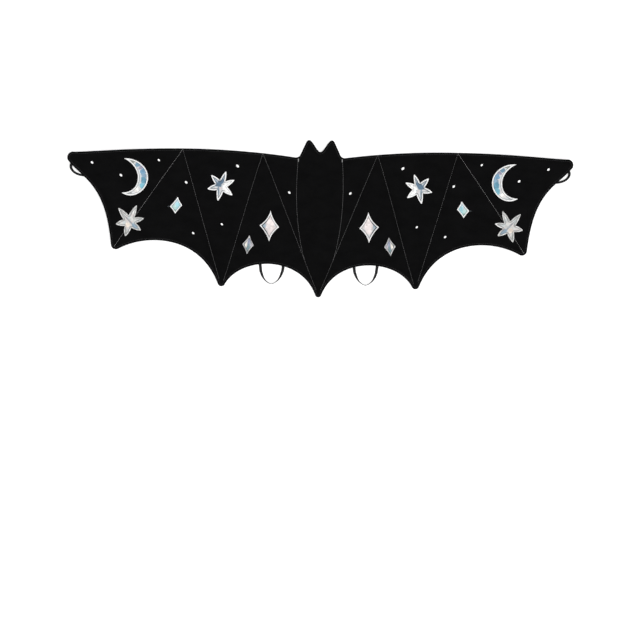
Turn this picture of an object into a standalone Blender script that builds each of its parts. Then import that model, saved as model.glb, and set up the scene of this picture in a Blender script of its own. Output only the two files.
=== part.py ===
"""Bat wings of a child's costume, lying face up on a flat surface.

Two quilted cloth panels share one outline with two ears, a long top edge and
scalloped hems. Moons, stars and diamonds of shiny cloth and small embroidered
dots are sewn on the front. Under the back lie four elastic loops: one at each
wing tip for the wrist, and one at each side of the body for the upper arm.

Units are metres, written as millimetres times MM. X runs along the span, Y
towards the ears and Z up from the surface where the wings lie. The origin is
on that surface, under the middle of the outline.
"""

import math
from collections import namedtuple

import bmesh
import bpy
import numpy as np
from mathutils.geometry import delaunay_2d_cdt

MM = 0.001

# Cloth, in millimetres
GAP = 0.3
FIELD_THICKNESS = 1.9
SEAM_THICKNESS = 1.0
QUILT_REACH = 9.0
SEAM_PULL = 0.5

# Spacing of the points that carry the cloth's form
EDGE_STEP = 15.0
CORNER_POINTS = 5
RIB_STEP = 21.0
FLANK = 9.0
FIELD_STEP = 25.0
FIELD_MARGIN = 10.0
CROWDED = 5.9
CURVE_POINTS = 200

# Sewn-on shapes: a stitched border stands proud of the shiny field inside it
PATCH_THICKNESS = 1.3
PATCH_FIELD_SHARE = 0.6
PATCH_BORDER = 3.4
PATCH_STEP = 7.5
TIP_ROUND = 2.0
WAIST_ROUND = 0.6
DOT_WIDTH = 5.8
DOT_LENGTH = 7.4
DOT_LEAN = 28.0
DOT_THICKNESS = 1.6
DOT_EDGE_SHARE = 0.4
DOT_CROWN_SHARE = 0.55
DOT_SIDES = 12

# Elastic
BAND_WIDTH = 6.0
BAND_THICKNESS = 1.0
BAND_STEP = 7.0

# Where the cloth lies over an elastic loop, its underside is lifted
TIP_LIFT = 6.5
TIP_RAMP_START = 285.0
TIP_RAMP_END = 412.0
STRAP_LIFT = 1.4
STRAP_FLAT_REACH = 30.0
STRAP_RAMP_END = 62.0

# The right half of the outline, from the notch between the ears round to the
# point under the body. Each stretch between two corners is a cubic curve:
# leave is its handle at this corner, arrive its handle at the next one.
Corner = namedtuple("Corner", "name x y round leave arrive")
OUTLINE = (
    Corner("notch", 0.0, 137.1, 4.8, (12.1, 10.6), (-13.5, -8.1)),
    Corner("ear tip", 26.0, 166.6, 6.9, (4.4, -9.3), (-4.8, 11.1)),
    Corner("neck", 44.6, 126.1, 7.7, (267.3, 38.7), (-10.4, -15.7)),
    Corner("wing tip", 537.6, 135.0, 25.4, (-30.8, -63.7), (13.0, 166.4)),
    Corner("outer point", 430.4, -77.5, 17.0, (-63.9, 47.8), (30.3, 126.6)),
    Corner("inner point", 201.8, -161.1, 24.6, (-10.4, 86.2), (14.6, 120.4)),
    Corner("centre point", 0.0, -184.2, 26.9, None, None),
)

# Stitched ribs of the right half, each a cubic curve
Rib = namedtuple("Rib", "name start leave arrive end")
RIBS = (
    Rib("upper rib", (287.0, 139.0), (47.0, -67.0), (-44.0, 68.0), (425.5, -65.0)),
    Rib("middle rib", (285.6, 139.0), (-27.0, -90.0), (27.0, 88.0), (206.0, -129.0)),
    Rib("inner rib", (120.6, 131.0), (28.0, -86.0), (-27.0, 88.0), (198.0, -133.5)),
    Rib("belly rib", (118.0, 131.0), (-39.0, -93.0), (38.0, 92.0), (4.5, -148.0)),
    Rib("body line", (45.8, 123.5), (5.2, -62.0), (21.0, 70.0), (29.0, -88.0)),
)

# Soft rises where the cloth doesn't lie flat: the middle, the reach each way
# and the height at the middle
Wave = namedtuple("Wave", "name x y reach_x reach_y rise")
WAVES = (
    Wave("left outer point", -432.0, -84.0, 120.0, 100.0, 6.0),
    Wave("right outer point", 432.0, -84.0, 105.0, 120.0, 4.5),
    Wave("left inner point", -207.0, -152.0, 78.0, 90.0, 5.0),
    Wave("right inner point", 207.0, -152.0, 84.0, 84.0, 7.5),
    Wave("left top edge", -252.0, 152.0, 118.0, 66.0, 4.0),
    Wave("right top edge", 205.0, 150.0, 92.0, 56.0, 3.0),
    Wave("ears", 5.0, 170.0, 62.0, 62.0, 4.5),
    Wave("centre point", -3.0, -172.0, 50.0, 62.0, 3.0),
)

# Stars of the right half: waist is how far the notches between the arms lie
# from the middle, and each arm has an angle in degrees and a length
Star = namedtuple("Star", "name x y waist bulge arms")
STARS = (
    Star("outer_star", 394.4, -11.9, 16.2, 1.0,
         ((50.5, 38.4), (113.0, 38.9), (166.0, 32.4), (217.0, 31.2), (285.0, 33.4), (349.0, 30.2))),
    Star("inner_star", 205.3, 65.4, 15.4, 0.3,
         ((47.0, 32.2), (108.0, 33.6), (155.0, 31.8), (219.0, 32.0), (282.0, 33.2), (347.0, 30.6))),
)

# Diamonds of the right half, their four sides hollow
Diamond = namedtuple("Diamond", "name hollow top body_side bottom tip_side")
DIAMONDS = (
    Diamond("large_diamond", 2.6, (101.6, 17.4), (82.4, -18.6), (103.7, -50.2), (125.0, -15.5)),
    Diamond("lower_diamond", 1.1, (144.6, -34.9), (134.8, -56.9), (149.6, -76.6), (160.1, -54.6)),
    Diamond("upper_diamond", 0.8, (295.2, 41.9), (285.2, 24.0), (299.9, 5.7), (311.6, 21.3)),
)

# The crescent of the right half, open towards the wing tip
MOON = (
    Corner("upper horn", 409.6, 119.4, 2.4, (-26.0, 4.0), (0.0, 25.0)),
    Corner("outer side", 356.8, 80.0, 0.0, (0.0, -28.0), (-24.0, -18.0)),
    Corner("lower horn", 413.2, 48.6, 2.4, (-13.0, 1.5), (0.0, -16.0)),
    Corner("inner side", 379.7, 79.0, 0.0, (1.0, 11.0), (-12.0, -10.0)),
)

# Embroidered dots of the right half
DOTS = (
    (63.4, 53.8), (171.8, 107.3), (202.7, -14.1), (261.9, -33.5),
    (278.1, 71.8), (335.6, 117.0), (413.5, 84.3), (474.0, 109.8),
)

# Elastic routes of the right half: stand is the band's angle from lying flat
# to on edge, sewn is 1 where it is stitched against the cloth above it
Stop = namedtuple("Stop", "x y stand sewn")
WRIST_ROUTE = (
    Stop(513.5, 119.5, 0, 1.0), Stop(504.0, 121.6, 12, 0.8), Stop(490.0, 123.2, 70, 0.1),
    Stop(472.0, 123.4, 90, 0.0), Stop(455.0, 120.8, 90, 0.0), Stop(445.2, 114.0, 90, 0.0),
    Stop(442.4, 104.0, 90, 0.0), Stop(446.2, 93.4, 90, 0.0), Stop(457.0, 86.4, 82, 0.0),
    Stop(478.0, 83.4, 52, 0.0), Stop(497.0, 83.8, 42, 0.0), Stop(510.5, 89.0, 42, 0.0),
    Stop(517.6, 97.5, 34, 0.3), Stop(517.2, 105.5, 8, 0.9), Stop(512.0, 111.0, 0, 1.0),
)
ARM_ROUTE = (
    Stop(94.8, 127.0, 0, 1.0), Stop(93.2, 117.0, 0, 1.0), Stop(88.6, 92.0, 0, 0.2),
    Stop(82.2, 59.0, 0, 0.0), Stop(77.0, 20.0, 0, 0.0), Stop(74.4, -20.0, 0, 0.0),
    Stop(73.4, -60.0, 0, 0.0), Stop(73.8, -99.0, 0, 0.0), Stop(76.6, -114.0, 30, 0.0),
    Stop(84.6, -128.5, 74, 0.0), Stop(97.8, -136.4, 90, 0.0), Stop(111.0, -128.5, 74, 0.0),
    Stop(118.8, -114.0, 30, 0.0), Stop(121.4, -99.0, 0, 0.0), Stop(125.0, -68.0, 0, 0.0),
    Stop(128.4, -43.0, 0, 0.9), Stop(129.2, -33.0, 0, 1.0),
)

Finish = namedtuple("Finish", "name colour roughness metallic")
FINISHES = {
    "front": Finish("black velvet front", (0.006, 0.006, 0.007), 0.95, 0.0),
    "back": Finish("black velvet back", (0.007, 0.007, 0.008), 0.95, 0.0),
    "foil": Finish("holographic cloth", (0.72, 0.78, 0.82), 0.3, 0.7),
    "thread": Finish("white thread", (0.85, 0.85, 0.84), 0.6, 0.0),
    "elastic": Finish("black elastic", (0.012, 0.012, 0.013), 0.8, 0.0),
}


def smooth(share):
    """Rise from 0 to 1 with level ends as share goes from 0 to 1."""
    share = np.clip(share, 0.0, 1.0)
    return share * share * (3.0 - 2.0 * share)


def cubic(start, leave, arrive, end, count):
    """Points of the cubic curve from start to end with a handle at each."""
    start, end = np.array(start, float), np.array(end, float)
    first, second = start + leave, end + arrive
    t = np.linspace(0.0, 1.0, count)[:, None]
    return ((1 - t) ** 3 * start + 3 * (1 - t) ** 2 * t * first
            + 3 * (1 - t) * t ** 2 * second + t ** 3 * end)


def along(line):
    """Distance from the start of a line to each of its points."""
    return np.concatenate([[0.0], np.cumsum(np.hypot(*np.diff(line, axis=0)[:, :2].T))])


def resample(line, step):
    """The same line with points about one step apart, ends kept."""
    run = along(line)
    stations = np.linspace(0.0, run[-1], max(2, int(round(run[-1] / step)) + 1))
    return np.column_stack([np.interp(stations, run, line[:, k]) for k in range(line.shape[1])])


def trimmed(line, before, after):
    """A line without its first and last stretches."""
    run = along(line)
    keep = (run > before) & (run < run[-1] - after)
    ends = np.column_stack([np.interp([before, run[-1] - after], run, line[:, k]) for k in (0, 1)])
    return np.vstack([ends[:1], line[keep], ends[1:]])


def rounded_off(before, corner, after, count):
    """Points of the round arc that cuts a corner off between the two lines that meet there."""
    tip = np.array([corner.x, corner.y])
    weight = np.hypot(*(after - before)) / (np.hypot(*(tip - before)) + np.hypot(*(tip - after)))
    t = np.linspace(0.0, 1.0, count + 2)[1:-1, None]
    pulls = (1 - t) ** 2, 2 * weight * t * (1 - t), t ** 2
    return (pulls[0] * before + pulls[1] * tip + pulls[2] * after) / sum(pulls)


def stretches_between(corners, step):
    """The curved sides between corners, each without the ends that are rounded off."""
    sides = []
    for here, there in zip(corners[:-1], corners[1:]):
        side = cubic((here.x, here.y), here.leave, here.arrive, (there.x, there.y), CURVE_POINTS)
        sides.append(resample(trimmed(side, here.round, there.round), step))
    return sides


def half_outline():
    """Right half of the outline, from the middle of the notch to the middle of the centre point."""
    sides = stretches_between(OUTLINE, EDGE_STEP)
    flip = np.array([-1.0, 1.0])
    pieces = [rounded_off(flip * sides[0][0], OUTLINE[0], sides[0][0], CORNER_POINTS)[CORNER_POINTS // 2:]]
    for before, after, corner in zip(sides[:-1], sides[1:], OUTLINE[1:-1]):
        pieces += [before, rounded_off(before[-1], corner, after[0], CORNER_POINTS)]
    end = sides[-1][-1]
    point = rounded_off(end, OUTLINE[-1], flip * end, CORNER_POINTS)[:CORNER_POINTS // 2 + 1]
    return np.vstack(pieces + [sides[-1], point])


def shape_outline(corners, step):
    """The closed outline of a sewn-on shape, its corners rounded off."""
    sides = stretches_between(corners + corners[:1], step)
    pieces = []
    for k, (side, corner) in enumerate(zip(sides, corners)):
        if corner.round:
            pieces.append(rounded_off(sides[k - 1][-1], corner, side[0], 1))
            pieces.append(side)
        else:
            pieces.append(side[1:])
    outline = np.vstack(pieces)
    following = np.roll(outline, -1, axis=0)
    area = (outline[:, 0] * following[:, 1] - outline[:, 1] * following[:, 0]).sum()
    return outline if area > 0.0 else outline[::-1]


def bowed_corners(points, bows, rounds):
    """Corner rows for a polygon whose sides bow outwards, or inwards where the bow is negative.

    The points run anticlockwise, and a bow is how far the middle of a side
    stands off the straight line between its ends.
    """
    corners = []
    for k, (point, bow, rounding) in enumerate(zip(points, bows, rounds)):
        side = np.array(points[(k + 1) % len(points)]) - point
        outward = np.array([side[1], -side[0]]) / np.hypot(*side) * bow * 4.0 / 3.0
        corners.append(Corner("", point[0], point[1], rounding, side / 3.0 + outward, outward - side / 3.0))
    return tuple(corners)


def star_corners(star):
    """Corner rows of a star: each arm's tip, then the waist after it."""
    points, rounds = [], []
    for (angle, length), (following, _) in zip(star.arms, star.arms[1:] + star.arms[:1]):
        between = 0.5 * (angle + following + (360.0 if following < angle else 0.0))
        for direction, reach, rounding in ((angle, length, TIP_ROUND), (between, star.waist, WAIST_ROUND)):
            turn = math.radians(direction)
            points.append((star.x + reach * math.cos(turn), star.y + reach * math.sin(turn)))
            rounds.append(rounding)
    return bowed_corners(points, [star.bulge] * len(points), rounds)


def diamond_corners(diamond):
    """Corner rows of a diamond with hollow sides, anticlockwise from the top."""
    points = (diamond.top, diamond.body_side, diamond.bottom, diamond.tip_side)
    return bowed_corners(points, [-diamond.hollow] * 4, [TIP_ROUND] * 4)


def dot_outline(x, y):
    """A leaning oval."""
    turn = np.arange(DOT_SIDES) * 2.0 * math.pi / DOT_SIDES
    lean = math.radians(DOT_LEAN)
    across, up = 0.5 * DOT_WIDTH * np.cos(turn), 0.5 * DOT_LENGTH * np.sin(turn)
    return np.column_stack([x + across * math.cos(lean) + up * math.sin(lean),
                            y - across * math.sin(lean) + up * math.cos(lean)])


def mirrored(points):
    """Points of the other wing."""
    return points * np.array([-1.0] + [1.0] * (points.shape[1] - 1))


def whole_outline():
    """The closed outline, anticlockwise seen from above."""
    right = half_outline()
    return np.vstack([right[::-1], mirrored(right[1:-1])])


def rib_lines():
    """Every stitched line of both wings, with points close together."""
    right = [cubic(rib.start, rib.leave, rib.arrive, rib.end, 60) for rib in RIBS]
    return right + [mirrored(line) for line in right]


def distance_to(points, line):
    """Distance of each point to the nearest place on a line."""
    start, step = line[:-1], np.diff(line, axis=0)
    offset = points[:, None, :] - start[None]
    share = np.clip((offset * step).sum(2) / (step ** 2).sum(1), 0.0, 1.0)
    return np.hypot(*(offset - share[..., None] * step).transpose(2, 0, 1)).min(1)


def distance_to_all(points, lines):
    """Distance of each point to the nearest of several lines."""
    return np.min([distance_to(points, line) for line in lines], axis=0)


def inside(points, outline):
    """Which points lie inside a closed outline, by counting crossings."""
    x, y = points[:, 0, None], points[:, 1, None]
    ax, ay = outline[:, 0], outline[:, 1]
    bx, by = np.roll(ax, -1), np.roll(ay, -1)
    crosses = (ay > y) != (by > y)
    rise = np.where(by == ay, 1.0, by - ay)
    left = x < ax + (y - ay) * (bx - ax) / rise
    return (crosses & left).sum(1) % 2 == 1


def closed(outline):
    """An outline as a line that returns to its start."""
    return np.vstack([outline, outline[:1]])


def bump(points, wave):
    """One soft rise, level at its middle and at its rim."""
    across = ((points[:, 0] - wave.x) / wave.reach_x) ** 2
    up = ((points[:, 1] - wave.y) / wave.reach_y) ** 2
    return wave.rise * np.clip(1.0 - across - up, 0.0, 1.0) ** 2


def lay(points):
    """Height of the cloth's underside above the surface that it lies on."""
    ramp = (np.abs(points[:, 0]) - TIP_RAMP_START) / (TIP_RAMP_END - TIP_RAMP_START)
    strap = np.array([(stop.x, stop.y) for stop in ARM_ROUTE])
    folded = np.column_stack([np.abs(points[:, 0]), points[:, 1]])
    away = distance_to(folded, strap) - STRAP_FLAT_REACH
    over_strap = STRAP_LIFT * (1.0 - smooth(away / (STRAP_RAMP_END - STRAP_FLAT_REACH)))
    over_loops = np.maximum(TIP_LIFT * smooth(ramp), over_strap)
    return over_loops + sum(bump(points, wave) for wave in WAVES)


def crown(points, seams):
    """0 on a seam, 1 where the padding between the seams has its full height."""
    share = np.clip(distance_to_all(points, seams) / QUILT_REACH, 0.0, 1.0)
    return np.sqrt(1.0 - (1.0 - share) ** 2)


def spread(points, apart, fixed):
    """The points that keep their distance from the fixed ones and each other."""
    kept = list(fixed)
    chosen = []
    for point in points:
        if np.hypot(*(np.array(kept) - point).T).min() >= apart:
            kept.append(point)
            chosen.append(point)
    return np.array(chosen)


def cloth_points(outline, ribs):
    """Points inside the outline that carry the quilting: beside each rib, then a lattice."""
    edge = closed(outline)
    beside = []
    for rib in ribs:
        line = resample(rib, RIB_STEP)
        heading = np.gradient(line, axis=0)
        heading /= np.hypot(*heading.T)[:, None]
        across = np.column_stack([-heading[:, 1], heading[:, 0]])
        beside += [line + FLANK * across, line - FLANK * across]
    beside = np.vstack(beside)
    far = distance_to_all(beside, ribs) > FLANK - 2.0 * GAP
    beside = beside[far & inside(beside, outline) & (distance_to(beside, edge) > CROWDED)]
    apart = FIELD_STEP * math.sqrt(0.75)
    reach = [math.ceil(size / step) for size, step in zip(outline.max(0), (FIELD_STEP, apart))]
    columns = np.arange(-reach[0], reach[0] + 1) * FIELD_STEP
    rows = range(-reach[1], reach[1] + 1)
    lattice = np.vstack([np.column_stack([columns + 0.5 * FIELD_STEP * (k % 2), 0 * columns + k * apart])
                         for k in rows])
    clear = distance_to_all(lattice, ribs) > FLANK + FIELD_MARGIN
    lattice = lattice[clear & inside(lattice, outline) & (distance_to(lattice, edge) > FIELD_MARGIN)]
    return np.vstack([beside, lattice])


def triangulate(outline, free_points, lines):
    """Triangles inside an outline, with edges along the given lines."""
    points = [tuple(p) for p in outline]
    edges = []
    for line in lines:
        first = len(points)
        points += [tuple(p) for p in line]
        edges += [(k, k + 1) for k in range(first, first + len(line) - 1)]
    fixed = np.array(points)
    points += [tuple(p) for p in spread(free_points, CROWDED, fixed)]
    plan = delaunay_2d_cdt(points, edges, [list(range(len(outline)))], 1, 1e-6)
    return np.array([tuple(v) for v in plan[0]]), [tuple(face) for face in plan[2]]


def material(finish):
    """A plain Principled material."""
    result = bpy.data.materials.new(finish.name)
    result.use_nodes = True
    shader = result.node_tree.nodes["Principled BSDF"]
    shader.inputs["Base Color"].default_value = (*finish.colour, 1.0)
    shader.inputs["Roughness"].default_value = finish.roughness
    shader.inputs["Metallic"].default_value = finish.metallic
    result.diffuse_color = (*finish.colour, 1.0)
    return result


def add_object(name, data, finish, collection):
    """Put a mesh or curve in the scene as a named piece with its own material."""
    data.materials.append(material(FINISHES[finish]))
    piece = bpy.data.objects.new(name, data)
    collection.objects.link(piece)
    return piece


def sheet(name, plan, faces, height, weights, thickness, thinnest, grow_up, finish, collection):
    """An open surface over a plan, given its thickness by Solidify.

    The thickness is full where the weight is 1 and the share thinnest of it
    where the weight is 0. It grows up or down from the surface.
    """
    mesh = bpy.data.meshes.new(name)
    points = np.column_stack([plan, height]) * MM
    mesh.from_pydata([tuple(p) for p in points], [], faces)
    shape = bmesh.new()
    shape.from_mesh(mesh)
    upward = sum(face.normal.z for face in shape.faces) > 0.0
    if upward != grow_up:
        bmesh.ops.reverse_faces(shape, faces=shape.faces)
    shape.to_mesh(mesh)
    shape.free()
    piece = add_object(name, mesh, finish, collection)
    group = piece.vertex_groups.new(name="crown")
    for index, weight in enumerate(weights):
        group.add([index], float(weight), "REPLACE")
    solid = piece.modifiers.new("thickness", "SOLIDIFY")
    solid.thickness = thickness * MM
    solid.offset = 1.0
    solid.vertex_group = group.name
    solid.thickness_vertex_group = thinnest
    return piece


def drawn_in(outline, width):
    """Points a width inside an outline, without those that the far side crowds."""
    heading = np.roll(outline, -1, axis=0) - np.roll(outline, 1, axis=0)
    heading /= np.hypot(*heading.T)[:, None]
    points = outline + width * np.column_stack([-heading[:, 1], heading[:, 0]])
    far = distance_to(points, closed(outline)) > 0.9 * width
    return points[far & inside(points, outline)]


class Cloth:
    """The quilted cloth: its plan in triangles and the heights that it gives to what lies on it."""

    def __init__(self):
        outline = whole_outline()
        ribs = rib_lines()
        sewn = [resample(rib, RIB_STEP) for rib in ribs]
        self.plan, self.faces = triangulate(outline, cloth_points(outline, ribs), sewn)
        self.weight = crown(self.plan, ribs + [closed(outline)])
        self.underside = lay(self.plan)

    def height(self, points):
        """Height of the cloth's flat underside at points, read from the triangle under each."""
        corners = self.plan[np.array(self.faces)]
        origin, first, second = corners[:, 0], corners[:, 1] - corners[:, 0], corners[:, 2] - corners[:, 0]
        area = first[:, 0] * second[:, 1] - first[:, 1] * second[:, 0]
        offset = points[:, None, :] - origin[None]
        u = (offset[..., 0] * second[:, 1] - offset[..., 1] * second[:, 0]) / area
        v = (first[:, 0] * offset[..., 1] - first[:, 1] * offset[..., 0]) / area
        nearest = np.maximum(np.maximum(-u, -v), u + v - 1.0).argmin(1)
        row = np.arange(len(points))
        levels = self.underside[np.array(self.faces)][nearest]
        u, v = u[row, nearest], v[row, nearest]
        return levels[:, 0] * (1.0 - u - v) + levels[:, 1] * u + levels[:, 2] * v

    def add_panels(self, collection):
        """The front and back cloth, which meet at the seam in the middle of their thickness."""
        wall = SEAM_THICKNESS + (FIELD_THICKNESS - SEAM_THICKNESS) * self.weight
        middle = self.underside + SEAM_PULL * (1.0 - self.weight) + wall + 0.5 * GAP
        for name, finish, level, grow_up in (("front_panel", "front", 0.5 * GAP, True),
                                             ("back_panel", "back", -0.5 * GAP, False)):
            sheet(name, self.plan, self.faces, middle + level, self.weight, FIELD_THICKNESS,
                  SEAM_THICKNESS / FIELD_THICKNESS, grow_up, finish, collection)

    def add_patch(self, name, outline, inner, inner_weight, thickness, thinnest, finish, collection):
        """A sewn-on shape on the front: full height at its rim or at its middle."""
        plan, faces = triangulate(outline, inner, [])
        on_rim = np.arange(len(plan)) < len(outline)
        weight = np.where(on_rim, 1.0 - inner_weight, inner_weight)
        base = self.height(plan) + 2.0 * FIELD_THICKNESS + GAP + GAP
        sheet(name, plan, faces, base, weight, thickness, thinnest, True, finish, collection)


def add_sewn_shapes(cloth, collection):
    """Moon, stars and diamonds with raised borders, and domed dots, on both wings."""
    shapes = [("moon", MOON)]
    shapes += [(star.name, star_corners(star)) for star in STARS]
    shapes += [(diamond.name, diamond_corners(diamond)) for diamond in DIAMONDS]
    for side, mirror in (("right", 1.0), ("left", -1.0)):
        for name, corners in shapes:
            outline = on_side(shape_outline(corners, PATCH_STEP), mirror)
            inner = drawn_in(outline, PATCH_BORDER)
            middle = np.array([inner.mean(0)])
            if inside(middle, outline)[0]:
                inner = np.vstack([middle, inner])
            cloth.add_patch(f"{side}_{name}", outline, inner, 0.0, PATCH_THICKNESS, PATCH_FIELD_SHARE,
                            "foil", collection)
        for number, (x, y) in enumerate(DOTS, start=1):
            outline = on_side(dot_outline(x, y), mirror)
            centre = outline.mean(0)
            inner = np.vstack([centre, centre + DOT_CROWN_SHARE * (outline - centre)])
            cloth.add_patch(f"{side}_dot_{number}", outline, inner, 1.0, DOT_THICKNESS, DOT_EDGE_SHARE,
                            "thread", collection)


def on_side(outline, mirror):
    """An outline on the right wing, or its anticlockwise mirror image on the left one."""
    return outline if mirror > 0.0 else mirrored(outline)[::-1]


def smooth_route(stops, step):
    """Points on the smooth curve through a route's stops: x, y, stand and sewn."""
    rows = np.array(stops, float)
    rows = np.vstack([2 * rows[0] - rows[1], rows, 2 * rows[-1] - rows[-2]])
    t = np.linspace(0.0, 1.0, 12, endpoint=False)[:, None]
    curve = []
    for a, b, c, d in zip(rows[:-3], rows[1:-2], rows[2:-1], rows[3:]):
        curve.append(0.5 * (2 * b + (c - a) * t + (2 * a - 5 * b + 4 * c - d) * t ** 2
                            + (3 * b - a - 3 * c + d) * t ** 3))
    return resample(np.vstack(curve + [rows[-2:-1]]), step)


def add_band(name, stops, mirror, cloth, collection):
    """A flat elastic along its route, resting on the surface or sewn up against the cloth."""
    line = smooth_route(stops, BAND_STEP)
    x, y, stand, sewn = line.T
    x = x * mirror
    stand = np.radians(np.clip(stand, 0.0, 90.0))
    sewn = np.clip(sewn, 0.0, 1.0)
    resting = 0.5 * (BAND_WIDTH - BAND_THICKNESS) * np.sin(stand) + 0.5 * BAND_THICKNESS
    against_cloth = cloth.height(np.column_stack([x, y])) - GAP - 0.5 * BAND_THICKNESS
    z = np.where(sewn > 0.0, resting + (against_cloth - resting) * sewn, resting)
    curve = bpy.data.curves.new(name, "CURVE")
    curve.dimensions = "3D"
    curve.twist_mode = "Z_UP"
    curve.extrude = 0.5 * (BAND_WIDTH - BAND_THICKNESS) * MM
    curve.bevel_depth = 0.5 * BAND_THICKNESS * MM
    curve.bevel_resolution = 0
    curve.use_fill_caps = True
    spline = curve.splines.new("POLY")
    spline.points.add(len(x) - 1)
    for point, px, py, pz, angle in zip(spline.points, x, y, z, stand):
        point.co = (px * MM, py * MM, pz * MM, 1.0)
        point.tilt = mirror * (0.5 * math.pi - angle)
    add_object(name, curve, "elastic", collection)


def main():
    """Build every piece from an empty scene."""
    for thing in list(bpy.data.objects):
        bpy.data.objects.remove(thing)
    collection = bpy.data.collections.new("bat_wings")
    bpy.context.scene.collection.children.link(collection)
    cloth = Cloth()
    cloth.add_panels(collection)
    add_sewn_shapes(cloth, collection)
    for side, mirror in (("right", 1.0), ("left", -1.0)):
        add_band(f"{side}_wrist_loop", WRIST_ROUTE, mirror, cloth, collection)
        add_band(f"{side}_arm_loop", ARM_ROUTE, mirror, cloth, collection)


main()
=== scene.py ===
"""Bat wings of a child's costume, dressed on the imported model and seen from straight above.

Two quilted velvet panels with sewn ribs carry moons, stars and diamonds of holographic
cloth with satin-stitched borders, small embroidered dots and four elastic loops. Plan
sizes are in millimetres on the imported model's axes: X along the span, Y towards the
ears, Z up from the surface where the wings lie. Both wings share one plan, so a place
on the left wing is worked out at the mirrored place on the right one.
"""

import logging
import math
from dataclasses import dataclass, field
from enum import Enum
from typing import Callable, NamedTuple

import bmesh
import bpy
import numpy as np
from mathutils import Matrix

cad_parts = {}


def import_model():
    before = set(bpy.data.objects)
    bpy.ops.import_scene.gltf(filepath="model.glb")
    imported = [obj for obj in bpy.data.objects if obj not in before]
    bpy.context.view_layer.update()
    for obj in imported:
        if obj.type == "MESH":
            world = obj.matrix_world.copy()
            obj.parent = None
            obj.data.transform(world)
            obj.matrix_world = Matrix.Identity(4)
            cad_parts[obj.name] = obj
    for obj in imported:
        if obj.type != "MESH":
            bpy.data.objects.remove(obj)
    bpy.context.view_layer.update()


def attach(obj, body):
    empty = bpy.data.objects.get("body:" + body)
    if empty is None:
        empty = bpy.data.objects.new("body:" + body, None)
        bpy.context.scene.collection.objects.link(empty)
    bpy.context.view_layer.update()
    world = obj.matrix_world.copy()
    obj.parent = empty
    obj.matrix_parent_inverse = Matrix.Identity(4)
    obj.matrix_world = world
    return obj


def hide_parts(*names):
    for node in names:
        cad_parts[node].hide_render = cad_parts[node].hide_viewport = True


LOG = logging.getLogger("bat_wings")
MM = 0.001
Array = np.ndarray
Colour = tuple[float, float, float]
Screen = tuple[int, int, int]

# How much light the studio gives a level surface, as a multiple of plain white's
STUDIO_LEVEL = 1.2
# The factors that mirror a plan from one wing to the other
MIRROR = np.array([-1.0, 1.0])
# Where a stitch has its points, as shares of its length: both ends dive in just past its shoulders
STITCH = np.array([0.0, 0.14, 0.5, 0.86, 1.0])


class Labelled(Enum):
    """A choice whose name is part of the nodes' names."""

    @property
    def label(self) -> str:
        """The name as the nodes spell it."""
        return self.name.lower()


class Side(Labelled):
    """The two wings, with the sign of X on each."""

    RIGHT = 1.0
    LEFT = -1.0


class Face(Labelled):
    """The two panels, with the sign of Z on the face of each."""

    FRONT = 1.0
    BACK = -1.0


class Corner(NamedTuple):
    """A corner of an outline. Leave is the handle of the curve after it, arrive that curve's other one."""

    x: float
    y: float
    round: float
    leave: tuple[float, float] = (0.0, 0.0)
    arrive: tuple[float, float] = (0.0, 0.0)


class Rib(NamedTuple):
    """A stitched rib as a cubic curve."""

    start: tuple[float, float]
    leave: tuple[float, float]
    arrive: tuple[float, float]
    end: tuple[float, float]


class Wave(NamedTuple):
    """A soft rise of the lying cloth: its middle, its reach each way and its height."""

    x: float
    y: float
    reach_x: float
    reach_y: float
    rise: float


class Dot(NamedTuple):
    """A small embroidered oval: its middle and its size as a share of the largest."""

    x: float
    y: float
    size: float


class Stop(NamedTuple):
    """A place on an elastic's route: stand is its angle from flat, sewn its share against the cloth."""

    x: float
    y: float
    stand: float
    sewn: float


class Glint(NamedTuple):
    """A patch of painted reflection on holographic cloth, the dark ones on the outer star painted shade of its
    folds: an oval with a lean in degrees and a soft rim.
    """

    x: float
    y: float
    reach_x: float
    reach_y: float
    lean: float
    shown: Screen
    strength: float = 1.0


OUTLINE = (
    Corner(0.0, 137.1, 4.8, (12.1, 10.6), (-13.5, -8.1)),
    Corner(26.0, 166.6, 6.9, (4.4, -9.3), (-4.8, 11.1)),
    Corner(44.6, 126.1, 7.7, (267.3, 38.7), (-10.4, -15.7)),
    Corner(537.6, 135.0, 25.4, (-30.8, -63.7), (13.0, 166.4)),
    Corner(430.4, -77.5, 17.0, (-63.9, 47.8), (30.3, 126.6)),
    Corner(201.8, -161.1, 24.6, (-10.4, 86.2), (14.6, 120.4)),
    Corner(0.0, -184.2, 26.9),
)

UPPER_RIB = Rib((287.0, 139.0), (47.0, -67.0), (-44.0, 68.0), (425.5, -65.0))
MIDDLE_RIB = Rib((285.6, 139.0), (-27.0, -90.0), (27.0, 88.0), (206.0, -129.0))
INNER_RIB = Rib((120.6, 131.0), (28.0, -86.0), (-27.0, 88.0), (198.0, -133.5))
BELLY_RIB = Rib((118.0, 131.0), (-39.0, -93.0), (38.0, 92.0), (4.5, -148.0))
BODY_LINE = Rib((45.8, 123.5), (5.2, -62.0), (21.0, 70.0), (29.0, -88.0))
RIBS = (UPPER_RIB, MIDDLE_RIB, INNER_RIB, BELLY_RIB, BODY_LINE)

WAVES = (
    Wave(-432.0, -84.0, 120.0, 100.0, 6.0),
    Wave(432.0, -84.0, 105.0, 120.0, 4.5),
    Wave(-207.0, -152.0, 78.0, 90.0, 5.0),
    Wave(207.0, -152.0, 84.0, 84.0, 7.5),
    Wave(-252.0, 152.0, 118.0, 66.0, 4.0),
    Wave(205.0, 150.0, 92.0, 56.0, 3.0),
    Wave(5.0, 170.0, 62.0, 62.0, 4.5),
    Wave(-3.0, -172.0, 50.0, 62.0, 3.0),
)

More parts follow.
